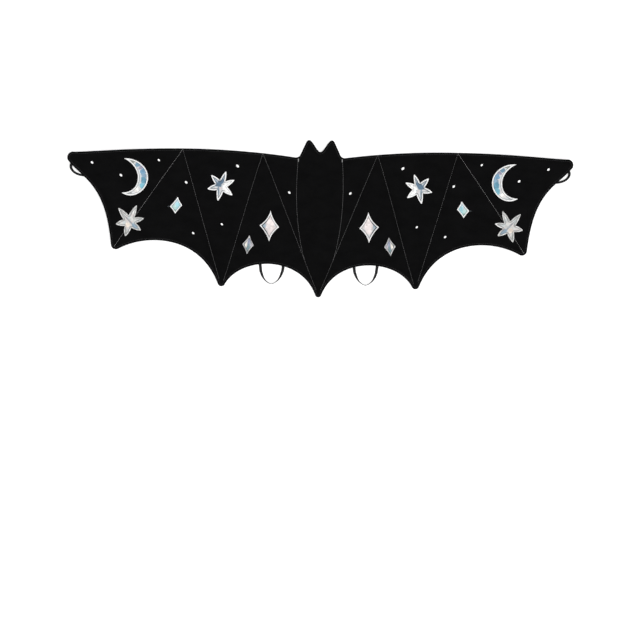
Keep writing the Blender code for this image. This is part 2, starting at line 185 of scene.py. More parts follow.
DOTS = (
    Dot(63.4, 53.8, 0.8), Dot(171.8, 107.3, 0.95), Dot(202.7, -14.1, 0.7), Dot(261.9, -33.5, 0.75),
    Dot(278.1, 71.8, 0.8), Dot(335.6, 117.0, 0.7), Dot(413.5, 84.3, 0.85), Dot(474.0, 109.8, 0.8),
)

WRIST_ROUTE = (
    Stop(513.5, 119.5, 0, 1.0), Stop(504.0, 121.6, 12, 0.8), Stop(490.0, 123.2, 70, 0.1),
    Stop(472.0, 123.4, 90, 0.0), Stop(455.0, 120.8, 90, 0.0), Stop(445.2, 114.0, 90, 0.0),
    Stop(442.4, 104.0, 90, 0.0), Stop(446.2, 93.4, 90, 0.0), Stop(457.0, 86.4, 82, 0.0),
    Stop(478.0, 83.4, 52, 0.0), Stop(497.0, 83.8, 42, 0.0), Stop(510.5, 89.0, 42, 0.0),
    Stop(517.6, 97.5, 34, 0.3), Stop(517.2, 105.5, 8, 0.9), Stop(512.0, 111.0, 0, 1.0),
)
ARM_ROUTE = (
    Stop(94.8, 127.0, 0, 1.0), Stop(93.2, 117.0, 0, 1.0), Stop(88.6, 92.0, 0, 0.2),
    Stop(82.2, 59.0, 0, 0.0), Stop(77.0, 20.0, 0, 0.0), Stop(74.4, -20.0, 0, 0.0),
    Stop(73.4, -60.0, 0, 0.0), Stop(73.8, -99.0, 0, 0.0), Stop(76.6, -114.0, 30, 0.0),
    Stop(84.6, -128.5, 74, 0.0), Stop(97.8, -136.4, 90, 0.0), Stop(111.0, -128.5, 74, 0.0),
    Stop(118.8, -114.0, 30, 0.0), Stop(121.4, -99.0, 0, 0.0), Stop(125.0, -68.0, 0, 0.0),
    Stop(128.4, -43.0, 0, 0.9), Stop(129.2, -33.0, 0, 1.0),
)


# Shader maths


def operator(operation: str, swapped: bool = False) -> Callable[["Value", "Value | float"], "Value"]:
    """Write one arithmetic operator of Value.

    Args:
        operation: the operation of the Math node that it adds.
        swapped: whether the other operand comes first, as a reflected form needs.

    Returns:
        The operator's method.
    """
    def method(self: "Value", other: "Value | float") -> "Value":
        """This number and another through one Math node."""
        return self.math(operation, first=other) if swapped else self.math(operation, other)
    return method


class Value:
    """A shader number that takes part in sums written in Python."""

    def __init__(self, shader: "Shader", socket: bpy.types.NodeSocket) -> None:
        """Wrap one output socket."""
        self.shader = shader
        self.socket = socket

    def math(self, operation: str, *others: "Value | float", first: "Value | float | None" = None) -> "Value":
        """Add a Math node.

        Args:
            operation: the node's operation.
            others: the operands after this one.
            first: an operand before this one, for the reflected forms.

        Returns:
            The node's result.
        """
        operands = [self, *others] if first is None else [first, self, *others]
        node = self.shader.add("ShaderNodeMath", {"operation": operation}, dict(enumerate(operands)))
        return Value(self.shader, node.outputs[0])

    __add__ = __radd__ = operator("ADD")
    __sub__ = operator("SUBTRACT")
    __rsub__ = operator("SUBTRACT", swapped=True)
    __mul__ = __rmul__ = operator("MULTIPLY")
    __truediv__ = operator("DIVIDE")
    __pow__ = operator("POWER")

    def absolute(self) -> "Value":
        """The number without its sign."""
        return self.math("ABSOLUTE")

    def sine(self) -> "Value":
        """The sine of an angle in radians."""
        return self.math("SINE")

    def step(self, low: float, high: float) -> "Value":
        """Rise smoothly from 0 at low to 1 at high.

        Args:
            low: where the rise starts.
            high: where it ends; below low the result falls instead.

        Returns:
            The smooth step.
        """
        falling = high < low
        node = self.shader.add("ShaderNodeMapRange", {"interpolation_type": "SMOOTHSTEP"},
                               {"Value": self, "From Min": min(low, high), "From Max": max(low, high)})
        result = Value(self.shader, node.outputs["Result"])
        return 1.0 - result if falling else result


Input = Value | bpy.types.NodeSocket | float | tuple


def display(shown: Screen) -> Colour:
    """A surface's colour from the values of 0 to 255 that it shows on screen in the studio's light."""
    parts = [part / 255.0 for part in shown]
    linear = [part / 12.92 if part < 0.04045 else ((part + 0.055) / 1.055) ** 2.4 for part in parts]
    return tuple(part / STUDIO_LEVEL for part in linear)


def scaled(colour: Colour, factor: float) -> Colour:
    """A colour made lighter or darker."""
    return tuple(factor * part for part in colour)


class Shader:
    """A Principled material under construction."""

    def __init__(self, name: str) -> None:
        """Start a material whose tree holds a Principled shader and its output."""
        self.material = bpy.data.materials.new(name)
        self.material.use_nodes = True
        self.tree = self.material.node_tree
        self.surface = self.tree.nodes["Principled BSDF"]

    def add(self, kind: str, settings: dict | None = None, inputs: dict | None = None) -> bpy.types.Node:
        """Add one node.

        Args:
            kind: the node's type.
            settings: its properties, set before its sockets.
            inputs: values or links by socket name or number.

        Returns:
            The node.
        """
        node = self.tree.nodes.new(kind)
        for name, setting in (settings or {}).items():
            setattr(node, name, setting)
        for name, value in (inputs or {}).items():
            self.feed(node.inputs[name], value)
        return node

    def feed(self, socket: bpy.types.NodeSocket, value: Input) -> None:
        """Link a value to a socket, or set the socket to a constant."""
        if isinstance(value, Value):
            value = value.socket
        if isinstance(value, bpy.types.NodeSocket):
            self.tree.links.new(value, socket)
        elif socket.type == "RGBA":
            socket.default_value = (*value[:3], 1.0)
        else:
            socket.default_value = value

    def dress(self, **inputs: Input) -> None:
        """Set the surface's sockets, whose names are spelt with underscores for blanks."""
        for name, value in inputs.items():
            self.feed(self.surface.inputs[name.replace("_", " ")], value)

    def plane(self, coordinates: str) -> tuple[Value, Value]:
        """The first two parts of a texture coordinate in millimetres: Object for the plan, or the piece's UV."""
        source = self.add("ShaderNodeTexCoord").outputs[coordinates]
        parts = self.add("ShaderNodeSeparateXYZ", inputs={0: source}).outputs
        return Value(self, parts[0]) * (1.0 / MM), Value(self, parts[1]) * (1.0 / MM)

    def spread(self, size: float, stretch: tuple = (1.0, 1.0, 1.0)) -> bpy.types.NodeSocket:
        """Object coordinates on which one unit is a size in millimetres, over a stretch on each axis."""
        source = self.add("ShaderNodeTexCoord").outputs["Object"]
        scale = tuple(part / (size * MM) for part in stretch)
        return self.add("ShaderNodeMapping", inputs={"Vector": source, "Scale": scale}).outputs[0]

    def noise(self, size: float, detail: float = 2.0, stretch: tuple = (1.0, 1.0, 1.0)) -> Value:
        """Soft noise from 0 to 1.

        Args:
            size: the width of its blots in millimetres.
            detail: how many finer octaves it has.
            stretch: factors on the three axes.

        Returns:
            The noise.
        """
        inputs = {"Vector": self.spread(size, stretch), "Scale": 1.0, "Detail": detail}
        return Value(self, self.add("ShaderNodeTexNoise", inputs=inputs).outputs["Fac"])

    def facets(self, size: float, wander: float) -> tuple[Value, Value]:
        """Random tones from 0 to 1 that change from facet to facet.

        Args:
            size: the width of a facet in millimetres.
            wander: how far soft noise bends the facets' rims, as a share of their size.

        Returns:
            Two tones that are independent of each other.
        """
        placed = self.spread(size)
        bend = self.add("ShaderNodeTexNoise", inputs={"Vector": placed, "Scale": 0.8, "Detail": 1.0})
        moved = self.add("ShaderNodeVectorMath", {"operation": "MULTIPLY_ADD"},
                         {0: bend.outputs["Color"], 1: (wander, wander, wander), 2: placed})
        cells = self.add("ShaderNodeTexVoronoi", inputs={"Vector": moved.outputs[0], "Scale": 1.0})
        parts = self.add("ShaderNodeSeparateColor", inputs={0: cells.outputs["Color"]}).outputs
        return Value(self, parts[0]), Value(self, parts[1])

    def mixed(self, share: Value | float, low: Input, high: Input) -> bpy.types.NodeSocket:
        """A colour between two others.

        Args:
            share: 0 for the first colour, 1 for the second.
            low: the first colour.
            high: the second colour.

        Returns:
            The colour's socket.
        """
        node = self.add("ShaderNodeMix", {"data_type": "RGBA"}, {0: share, 6: low, 7: high})
        return node.outputs[2]

    def bump(self, height: Value, distance: float, strength: float = 1.0) -> None:
        """Feed the surface's normal from a height in units of the distance, in millimetres."""
        node = self.add("ShaderNodeBump", inputs={"Height": height, "Distance": distance * MM,
                                                  "Strength": strength})
        self.feed(self.surface.inputs["Normal"], node.outputs[0])


@dataclass(frozen=True)
class Velvet:
    """Matt black velvet whose nap lies a little differently from place to place."""

    name: str
    dark: Colour = (0.0016, 0.0016, 0.0017)
    light: Colour = (0.0037, 0.0037, 0.0039)

    def make(self) -> bpy.types.Material:
        """Nap in brushed blots, short fibres over them, and pile that scatters light at a low angle."""
        shader = Shader(self.name)
        nap = shader.noise(34.0, 3.0, (1.0, 1.7, 1.0))
        brushed = shader.noise(7.0, 2.0, (1.0, 2.2, 1.0))
        pile = shader.noise(0.55, 2.0)
        share = (nap * 0.55 + brushed * 0.25 + pile * 0.45).step(0.32, 0.92)
        shader.dress(Base_Color=shader.mixed(share, self.dark, self.light),
                     Roughness=0.86 + 0.12 * pile, Specular_IOR_Level=0.035,
                     Sheen_Weight=0.006, Sheen_Roughness=0.5, Sheen_Tint=(0.8, 0.82, 0.9))
        shader.bump(pile * 0.8 + brushed * 0.9, 0.32, 0.7)
        return shader.material


@dataclass(frozen=True)
class Foil:
    """Silver cloth with a pale rainbow shine, broken into facets, and set patches of painted reflection and
    painted shade.

    Inside the border runs a grey line of painted shadow, the shade of the groove
    where the border meets the field, from line to line plus its width in millimetres
    off the outline. It is weaker towards the body, by a set share of its strength
    past a set place on the way to the wing tip.
    """

    name: str
    shown: Screen
    glints: tuple[Glint, ...] = ()
    # Where the painted shadow in the groove inside the border lies, how strong it is, and its colour
    shadow_from: float = 0.0
    shadow_strength: float = 0.6
    line: float = 2.5
    shadow_width: float = 1.2
    shadow_depth: float = 0.8
    shadow_shown: Screen = (44, 50, 55)
    shadow_rim: float = 0.3
    shadow_fade: float = 6.0
    warm: Screen = (222, 206, 204)
    cool: Screen = (180, 202, 208)
    facet: float = 4.6
    blot: float = 11.0
    grain: float = 2.6

    def make(self) -> bpy.types.Material:
        """Facets of silver, each glint's painted reflection mixed in where its oval lies, and the painted shadow
        inside the border.
        """
        shader = Shader(self.name)
        x, y = shader.plane("Object")
        folded = x.absolute()
        _, away = shader.plane("UV")
        drift = shader.noise(self.blot, 3.0)
        fine = shader.noise(self.grain, 3.0)
        facet, tone = shader.facets(self.facet, 0.7)
        base = display(self.shown)
        colour = shader.mixed(facet.step(0.15, 0.85) * 0.75, base, scaled(base, 0.72))
        colour = shader.mixed(tone.step(0.66, 0.74) * 0.4, colour, display(self.warm))
        colour = shader.mixed(tone.step(0.26, 0.18) * 0.35, colour, display(self.cool))
        ragged = (fine - 0.5) * 0.35 + (drift - 0.5) * 0.35 + (facet - 0.5) * 0.35
        lively = tone.step(0.1, 0.9) * 0.6
        # Each glint paints a patch of reflection into the colour, lighter or darker from facet to facet
        for glint in self.glints:
            turn = math.radians(glint.lean)
            dx, dy = folded - glint.x, y - glint.y
            u = (dx * math.cos(turn) + dy * math.sin(turn)) / glint.reach_x
            v = (dy * math.cos(turn) - dx * math.sin(turn)) / glint.reach_y
            within = ((u * u + v * v) ** 0.5 + ragged).step(1.16, 0.86) * glint.strength
            tint = display(glint.shown)
            colour = shader.mixed(within, colour, shader.mixed(lively, scaled(tint, 1.22), scaled(tint, 0.66)))
        # Painted shadow of the groove inside the border: a grey band off the outline with ragged rims, weaker
        # towards the body than towards the wing tip
        worn = away + (fine - 0.5) * 0.5
        end = self.line + self.shadow_width
        line = worn.step(self.line, self.line + self.shadow_rim) * worn.step(end + self.shadow_rim, end)
        outer = folded.step(self.shadow_from - self.shadow_fade, self.shadow_from + self.shadow_fade)
        share = self.shadow_strength + (1.0 - self.shadow_strength) * outer
        colour = shader.mixed(line * share * self.shadow_depth, colour, display(self.shadow_shown))
        crush = shader.noise(1.1, 3.0)
        shader.dress(Base_Color=colour, Metallic=0.2, Roughness=0.30 + 0.22 * crush,
                     Specular_IOR_Level=0.5, Coat_Weight=0.2, Coat_Roughness=0.22)
        shader.bump(crush * 0.5 + fine * 0.6 + facet * 0.5, 0.16, 0.8)
        return shader.material


@dataclass(frozen=True)
class Thread:
    """Sewing or embroidery thread, twisted from fine strands."""

    name: str
    colour: Colour
    shade: Colour
    roughness: float = 0.48

    def make(self) -> bpy.types.Material:
        """Two tones that change every few stitches, with the fine strands as a bump."""
        shader = Shader(self.name)
        tone = shader.noise(1.4, 2.0) * 0.6 + shader.noise(6.0, 1.0) * 0.5
        strands = shader.noise(0.16, 1.0)
        shader.dress(Base_Color=shader.mixed(tone.step(0.42, 0.68), self.colour, self.shade),
                     Roughness=self.roughness - 0.06 + 0.12 * strands, Specular_IOR_Level=0.5,
                     Sheen_Weight=0.15, Sheen_Roughness=0.4)
        shader.bump(strands, 0.05, 0.6)
        return shader.material


@dataclass(frozen=True)
class Elastic:
    """Woven black elastic: lengthwise cords crossed by a fine weft."""

    name: str
    colour: Colour = (0.0065, 0.0065, 0.0069)
    # The lighter colour, where the weave stands high
    worn: Colour = (0.0130, 0.0130, 0.0137)
    cord: float = 0.75
    weft: float = 0.62

    def make(self) -> bpy.types.Material:
        """Height is a sine across the cords times a sine along the weft, offset on every other cord."""
        shader = Shader(self.name)
        along, across = shader.plane("UV")
        row = (across * (math.pi / self.cord)).sine()
        over = (along * (2.0 * math.pi / self.weft) + row * 1.4).sine()
        weave = row.absolute() * 0.6 + over * 0.2 + 0.2
        fuzz = shader.noise(0.5, 2.0)
        # The colour turns lighter where the weave stands high, just as the bump rises
        shader.dress(Base_Color=shader.mixed(weave * 0.7 + fuzz * 0.3, self.colour, self.worn),
                     Roughness=0.62 + 0.2 * fuzz, Specular_IOR_Level=0.16,
                     Sheen_Weight=0.03, Sheen_Roughness=0.5)
        shader.bump(weave + fuzz * 0.3, 0.14, 0.8)
        return shader.material


@dataclass(frozen=True)
class Floor:
    """The plain white surface of the studio."""

    name: str = "white floor"
    colour: Colour = (0.93, 0.93, 0.93)
    glow: float = 0.3

    def make(self) -> bpy.types.Material:
        """A matt white, lit a little from below as a light table is."""
        shader = Shader(self.name)
        shader.dress(Base_Color=self.colour, Roughness=0.9, Specular_IOR_Level=0.1,
                     Emission_Color=(1.0, 1.0, 1.0), Emission_Strength=self.glow)
        return shader.material


Finish = Velvet | Foil | Thread | Elastic

# Painted reflections: grey at the upper horn, then lilac, steel blue, teal and cyan, and mottled white at the
# lower horn
MOON_CLOTH = Foil("moon cloth", (226, 229, 230), (
    Glint(391.0, 112.5, 13.0, 3.5, -25.0, (142, 146, 138)),
    Glint(378.5, 107.5, 6.0, 5.0, -30.0, (104, 140, 162)),
    Glint(372.0, 101.0, 6.5, 3.0, -30.0, (140, 140, 160)),
    Glint(367.5, 93.0, 6.0, 6.0, 10.0, (108, 150, 180)),
    Glint(366.0, 84.0, 6.0, 5.0, 0.0, (126, 156, 178)),
    Glint(366.0, 74.0, 6.2, 7.5, 0.0, (88, 142, 166)),
    Glint(368.5, 62.5, 6.4, 6.5, -35.0, (116, 178, 196)),
    Glint(381.0, 55.0, 4.5, 6.0, -20.0, (236, 233, 229)),
    Glint(396.0, 48.5, 6.0, 2.6, 8.0, (166, 170, 172), 0.8),
), shadow_depth=0.4)
# Grey silver with the painted shade of a fold across it and of ridges along some arms, and faint blue and pink
# painted reflections beside the fold
OUTER_STAR_CLOTH = Foil("outer star cloth", (212, 212, 209), (
    Glint(393.0, -12.0, 16.0, 1.7, 47.0, (146, 149, 154), 0.9),
    Glint(383.0, -22.5, 5.0, 8.5, -35.0, (128, 152, 170), 0.9),
    Glint(398.0, -19.0, 5.0, 5.5, 0.0, (226, 212, 198), 0.8),
    Glint(403.5, -35.0, 3.5, 9.0, 10.0, (138, 141, 134), 0.8),
    Glint(371.0, -8.0, 9.0, 2.2, -12.0, (140, 145, 148), 0.7),
    Glint(388.5, 10.0, 1.5, 12.0, 22.0, (150, 153, 153), 0.7),
    Glint(409.0, 5.0, 1.6, 12.0, -38.0, (152, 156, 156), 0.6),
    Glint(384.0, 14.0, 2.6, 10.0, 22.0, (230, 230, 228), 0.6),
), line=2.3, shadow_depth=0.45)
# Painted reflections: a slate blue wedge that reaches into the upper arms and down the lowest, beside plain
# white
INNER_STAR_CLOTH = Foil("inner star cloth", (212, 214, 216), (
    Glint(205.5, 75.5, 5.5, 13.0, 27.0, (74, 100, 122)),
    Glint(213.0, 69.0, 8.5, 5.0, 14.0, (82, 110, 132)),
    Glint(198.0, 88.0, 2.6, 9.0, 17.0, (140, 150, 158), 0.9),
    Glint(219.5, 79.5, 2.8, 9.0, -43.0, (134, 152, 166), 0.8),
    Glint(211.5, 53.0, 2.4, 13.0, 4.0, (122, 144, 160), 0.9),
    Glint(226.0, 62.0, 7.0, 2.4, -12.0, (150, 162, 166), 0.7),
    Glint(188.0, 61.0, 13.0, 14.0, 0.0, (250, 250, 248), 0.95),
), shadow_from=200.0, shadow_strength=0.2)
# Rose white with a painted reflection of blue grey as a strip at its outer corner
LARGE_DIAMOND_CLOTH = Foil("large diamond cloth", (215, 209, 208), (
    Glint(115.0, -15.0, 3.6, 8.0, 0.0, (138, 156, 168), 0.9),
    Glint(102.0, -14.0, 8.0, 17.0, 0.0, (233, 222, 220), 0.8),
), shadow_from=106.0, shadow_strength=0.25, line=1.9, shadow_width=2.1, shadow_depth=1.0)
# Painted reflections in upright streaks of cream, grey, violet blue and sea green
LOWER_DIAMOND_CLOTH = Foil("lower diamond cloth", (172, 172, 176), (
    Glint(151.6, -55.5, 2.2, 10.0, 14.0, (240, 236, 225), 0.95),
    Glint(155.6, -53.0, 1.6, 8.0, 14.0, (116, 117, 118), 0.9),
    Glint(145.6, -50.0, 2.6, 8.0, 14.0, (140, 146, 170), 0.95),
    Glint(147.4, -62.0, 2.8, 8.0, 14.0, (106, 132, 138), 0.95),
    Glint(139.6, -56.0, 2.6, 6.0, 10.0, (196, 188, 198), 0.9),
    Glint(149.6, -69.0, 2.4, 4.0, 0.0, (136, 152, 148), 0.8),
), shadow_from=148.0, shadow_strength=0.5, line=1.9)
# Painted reflections: pale blue above, aqua in the middle and sea green below
UPPER_DIAMOND_CLOTH = Foil("upper diamond cloth", (202, 217, 219), (
    Glint(296.0, 31.0, 6.0, 7.0, 0.0, (192, 218, 228), 0.9),
    Glint(294.5, 22.0, 5.0, 7.0, 0.0, (152, 203, 212), 0.9),
    Glint(303.0, 19.0, 5.0, 6.0, 0.0, (176, 208, 204), 0.9),
    Glint(300.0, 11.5, 4.0, 4.5, 0.0, (134, 172, 165), 0.9),
), shadow_from=298.0, shadow_strength=0.4, line=2.2, shadow_depth=0.5)

SILVER_THREAD = Thread("silver thread", (0.34, 0.34, 0.33), (0.25, 0.25, 0.25))
GREY_THREAD = Thread("grey thread", (0.155, 0.155, 0.155), (0.095, 0.095, 0.096))
DARK_THREAD = Thread("dark grey thread", (0.025, 0.025, 0.026), (0.015, 0.015, 0.016), 0.6)
BLACK_THREAD = Thread("black thread", (0.010, 0.010, 0.011), (0.006, 0.006, 0.007), 0.6)
PALE_THREAD = Thread("pale grey thread", display((88, 94, 100)), display((62, 68, 74)))
WHITE_SATIN = Thread("white satin thread", (0.95, 0.95, 0.94), (0.88, 0.88, 0.88), 0.38)
SILVER_SATIN = Thread("silver satin thread", (0.86, 0.86, 0.85), (0.40, 0.40, 0.39), 0.4)
DULL_SATIN = Thread("dull satin thread", (0.76, 0.76, 0.76), (0.27, 0.27, 0.27), 0.42)


# Curves in the plan


def smooth(share: Array) -> Array:
    """Rise from 0 to 1 with level ends: 3s^2 - 2s^3 of the clipped share."""
    share = np.clip(share, 0.0, 1.0)
    return share * share * (3.0 - 2.0 * share)


def quarter_round(share: Array) -> Array:
    """Rise from 0 to 1 as a quarter of a circle: sqrt(1 - (1 - s)^2) of the clipped share."""
    return np.sqrt(1.0 - (1.0 - np.clip(share, 0.0, 1.0)) ** 2)


def cubic(start: Array, leave: Array, arrive: Array, end: Array, count: int) -> Array:
    """Points of a cubic Bezier curve.

    Args:
        start: its first point.
        leave: the handle at the first point.
        arrive: the handle at the last point.
        end: its last point.
        count: how many points.

    Returns:
        The points, one row each.
    """
    start, end = np.array(start, float), np.array(end, float)
    t = np.linspace(0.0, 1.0, count)[:, None]
    return ((1 - t) ** 3 * start + 3 * (1 - t) ** 2 * t * (start + leave)
            + 3 * (1 - t) * t ** 2 * (end + arrive) + t ** 3 * end)


def run_of(line: Array) -> Array:
    """Distance from the start of a line to each of its points."""
    return np.concatenate([[0.0], np.cumsum(np.hypot(*np.diff(line[:, :2], axis=0).T))])


def at_stations(line: Array, stations: Array) -> Array:
    """The places on a line at given distances from its start."""
    run = run_of(line)
    return np.column_stack([np.interp(stations, run, part) for part in line.T])


def resample(line: Array, step: float) -> Array:
    """The same line with points about one step apart."""
    length = run_of(line)[-1]
    return at_stations(line, np.linspace(0.0, length, max(2, round(length / step) + 1)))


def headings(line: Array) -> Array:
    """Unit directions along a line, from differences of its neighbours."""
    steps = np.gradient(line[:, :2], axis=0)
    return steps / np.maximum(np.hypot(*steps.T), 1e-9)[:, None]


def inward(line: Array) -> Array:
    """Unit normals to the left of a line, which is the inside of an anticlockwise outline."""
    ahead = headings(line)
    return np.column_stack([-ahead[:, 1], ahead[:, 0]])


def closed(outline: Array) -> Array:
    """An outline as a line that returns to its start."""
    return np.vstack([outline, outline[:1]])


def folded_over(points: Array) -> Array:
    """Points of the plan laid over on the right wing."""
    return np.column_stack([np.abs(points[:, 0]), points[:, 1]])


def raised(plan: Array, height: Array) -> Array:
    """Points of the plan with their heights as a third part."""
    return np.concatenate([plan, height.reshape(*plan.shape[:-1], 1)], axis=-1)


def nearest_on(points: Array, line: Array) -> tuple[Array, Array]:
    """Find the nearest place on a line to each point.

    Args:
        points: the points in the plan.
        line: the line's points.

    Returns:
        The distance to the line, and the run of the nearest place along it.
    """
    start, step = line[:-1], np.diff(line, axis=0)
    length = np.hypot(*step.T)
    run = run_of(line)[:-1]
    parts = []
    for some in np.array_split(points, max(1, len(points) * len(start) // 3_000_000)):
        offset = some[:, None, :] - start[None]
        share = np.clip((offset * step).sum(2) / (length ** 2), 0.0, 1.0)
        away = np.hypot(*(offset - share[..., None] * step).transpose(2, 0, 1))
        best = away.argmin(1)
        row = np.arange(len(some))
        parts.append(np.column_stack([away[row, best], run[best] + share[row, best] * length[best]]))
    found = np.vstack(parts)
    return found[:, 0], found[:, 1]


def inside(points: Array, outline: Array) -> Array:
    """Whether points lie inside a closed outline: a ray to the right crosses it an odd number of times."""
    start, end = outline, np.roll(outline, -1, axis=0)
    rise = end[:, 1] - start[:, 1]
    slope = (end[:, 0] - start[:, 0]) / np.where(rise == 0.0, 1e-9, rise)
    found = []
    for some in np.array_split(points, max(1, len(points) * len(start) // 3_000_000)):
        x, y = some[:, :1], some[:, 1:]
        crossed = ((start[:, 1] > y) != (end[:, 1] > y)) & (x < start[:, 0] + (y - start[:, 1]) * slope)
        found.append(crossed.sum(1) % 2 == 1)
    return np.concatenate(found)


def sides_of(corners: tuple[Corner, ...], step: float) -> list[Array]:
    """The curved sides between corners, each without the ends that are rounded off."""
    sides = []
    for here, there in zip(corners[:-1], corners[1:]):
        side = cubic((here.x, here.y), here.leave, here.arrive, (there.x, there.y), 400)
        length = run_of(side)[-1]
        count = max(2, round((length - here.round - there.round) / step) + 1)
        sides.append(at_stations(side, np.linspace(here.round, length - there.round, count)))
    return sides


def rounded_off(before: Array, corner: Corner, after: Array, count: int) -> Array:
    """Cut a corner off with the round arc that touches both of its sides.

    The arc is the rational quadratic curve whose middle weight is the chord's
    length over the sum of the two sides' lengths.

    Args:
        before: where the arc leaves the first side.
        corner: the corner.
        after: where it joins the second side.
        count: how many points lie between the two.

    Returns:
        The points between before and after.
    """
    tip = np.array([corner.x, corner.y])
    weight = np.hypot(*(after - before)) / (np.hypot(*(tip - before)) + np.hypot(*(tip - after)))
    t = np.linspace(0.0, 1.0, count + 2)[1:-1, None]
    pulls = (1 - t) ** 2, 2 * weight * t * (1 - t), t ** 2
    return (pulls[0] * before + pulls[1] * tip + pulls[2] * after) / sum(pulls)


def shape_outline(corners: tuple[Corner, ...], step: float) -> Array:
    """The closed anticlockwise outline of a sewn-on shape, its corners rounded off."""
    sides = sides_of(corners + corners[:1], step)
    pieces = []
    for k, (side, corner) in enumerate(zip(sides, corners)):
        if corner.round:
            pieces += [rounded_off(sides[k - 1][-1], corner, side[0], 7), side]
        else:
            pieces.append(side[1:])
    outline = np.vstack(pieces)
    following = np.roll(outline, -1, axis=0)
    area = (outline[:, 0] * following[:, 1] - outline[:, 1] * following[:, 0]).sum()
    return outline if area > 0.0 else outline[::-1]


# Meshes


def grid_faces(rows: int, columns: int, wrap: bool = False, first: int = 0, flip: bool = False) -> Array:
    """Quads of a grid whose points are numbered row by row.

    Args:
        rows: points in the slow direction.
        columns: points in the fast direction.
        wrap: whether the last column joins the first.
        first: the number of the first point.
        flip: whether the quads face the other way.

    Returns:
        Four point numbers a quad.
    """
    row = np.arange(rows - 1)[:, None] * columns
    column = np.arange(columns if wrap else columns - 1)[None]
    following = (column + 1) % columns
    quads = np.stack([row + column, row + following, row + columns + following, row + columns + column], -1)
    quads = quads.reshape(-1, 4) + first
    return quads[:, ::-1] if flip else quads


@dataclass
class Form:
    """Points in millimetres and the faces between them, before they become a mesh."""

    points: Array
    faces: list[Array]
    uv: Array | None = None

    def joined(self, other: "Form") -> "Form":
        """Both forms as one."""
        shifted = [face + len(self.points) for face in other.faces]
        return Form(np.vstack([self.points, other.points]), self.faces + shifted)


def strands(paths: Array, radius: Array | float, sides: int) -> Form:
    """Round threads along many paths at once.

    A ring of points stands square to each path at each of its points: the
    path plus radius times (cos a across it, sin a above it). Both ends are
    closed with a flat cap.

    Args:
        paths: points by thread, place and axis.
        radius: one radius, or one for each place of a path.
        sides: points in a ring.

    Returns:
        All the threads as one form.
    """
    count, places, _ = paths.shape
    ahead = np.gradient(paths, axis=1)
    ahead /= np.maximum(np.linalg.norm(ahead, axis=2, keepdims=True), 1e-9)
    across = np.cross(ahead, [0.0, 0.0, 1.0])
    across /= np.maximum(np.linalg.norm(across, axis=2, keepdims=True), 1e-9)
    above = np.cross(across, ahead)
    angle = np.arange(sides) * 2.0 * math.pi / sides + math.pi / sides
    radius = np.broadcast_to(np.asarray(radius, float), (count, places))[..., None, None]
    ring = (np.cos(angle)[:, None] * across[:, :, None] + np.sin(angle)[:, None] * above[:, :, None])
    points = (paths[:, :, None] + radius * ring).reshape(-1, 3)
    tube = grid_faces(places, sides, wrap=True, flip=True)
    block = places * sides
    firsts = np.arange(count)[:, None, None] * block
    quads = (tube[None] + firsts).reshape(-1, 4)
    near = np.arange(sides)[None] + firsts[:, 0]
    far = np.arange(block - sides, block)[::-1][None] + firsts[:, 0]
    return Form(points, [quads, near, far])


def add_piece(name: str, form: Form, finish: Finish, weld: bool = False,
              stands_for: str = "") -> bpy.types.Object:
    """Make a form a piece of the scene that rides on the part.

    Args:
        name: the piece's name.
        form: its points and faces.
        finish: what it is made of; its material is made when the first piece needs it.
        weld: whether points that coincide are merged.
        stands_for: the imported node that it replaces, if any.

    Returns:
        The piece.
    """
    mesh = bpy.data.meshes.new(name)
    sizes = np.concatenate([np.full(len(face), face.shape[1]) for face in form.faces])
    corners = np.concatenate([face.ravel() for face in form.faces]).astype(np.int32)
    starts = np.concatenate([[0], np.cumsum(sizes)[:-1]]).astype(np.int32)
    mesh.vertices.add(len(form.points))
    mesh.vertices.foreach_set("co", (form.points * MM).astype(np.float32).ravel())
    mesh.loops.add(len(corners))
    mesh.loops.foreach_set("vertex_index", corners)
    mesh.polygons.add(len(sizes))
    mesh.polygons.foreach_set("loop_start", starts)
    mesh.update(calc_edges=True)
    if form.uv is not None:
        layer = mesh.uv_layers.new(name="along")
        layer.data.foreach_set("uv", (form.uv[corners] * MM).astype(np.float32).ravel())
    mesh.validate()
    if weld:
        shape = bmesh.new()
        shape.from_mesh(mesh)
        bmesh.ops.remove_doubles(shape, verts=shape.verts, dist=2e-6)
        shape.to_mesh(mesh)
        shape.free()
    mesh.polygons.foreach_set("use_smooth", np.ones(len(mesh.polygons), bool))
    mesh.materials.append(bpy.data.materials.get(finish.name) or finish.make())
    piece = bpy.data.objects.new(name, mesh)
    bpy.context.scene.collection.objects.link(piece)
    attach(piece, "root")
    if stands_for:
        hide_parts(stands_for)
    LOG.info("%s: %d faces", name, len(mesh.polygons))
    return piece


# The quilted cloth


@dataclass
class Seams:
    """How far points lie from the seams, and where along them."""

    edge: Array
    edge_run: Array
    rib: Array
    rib_run: Array


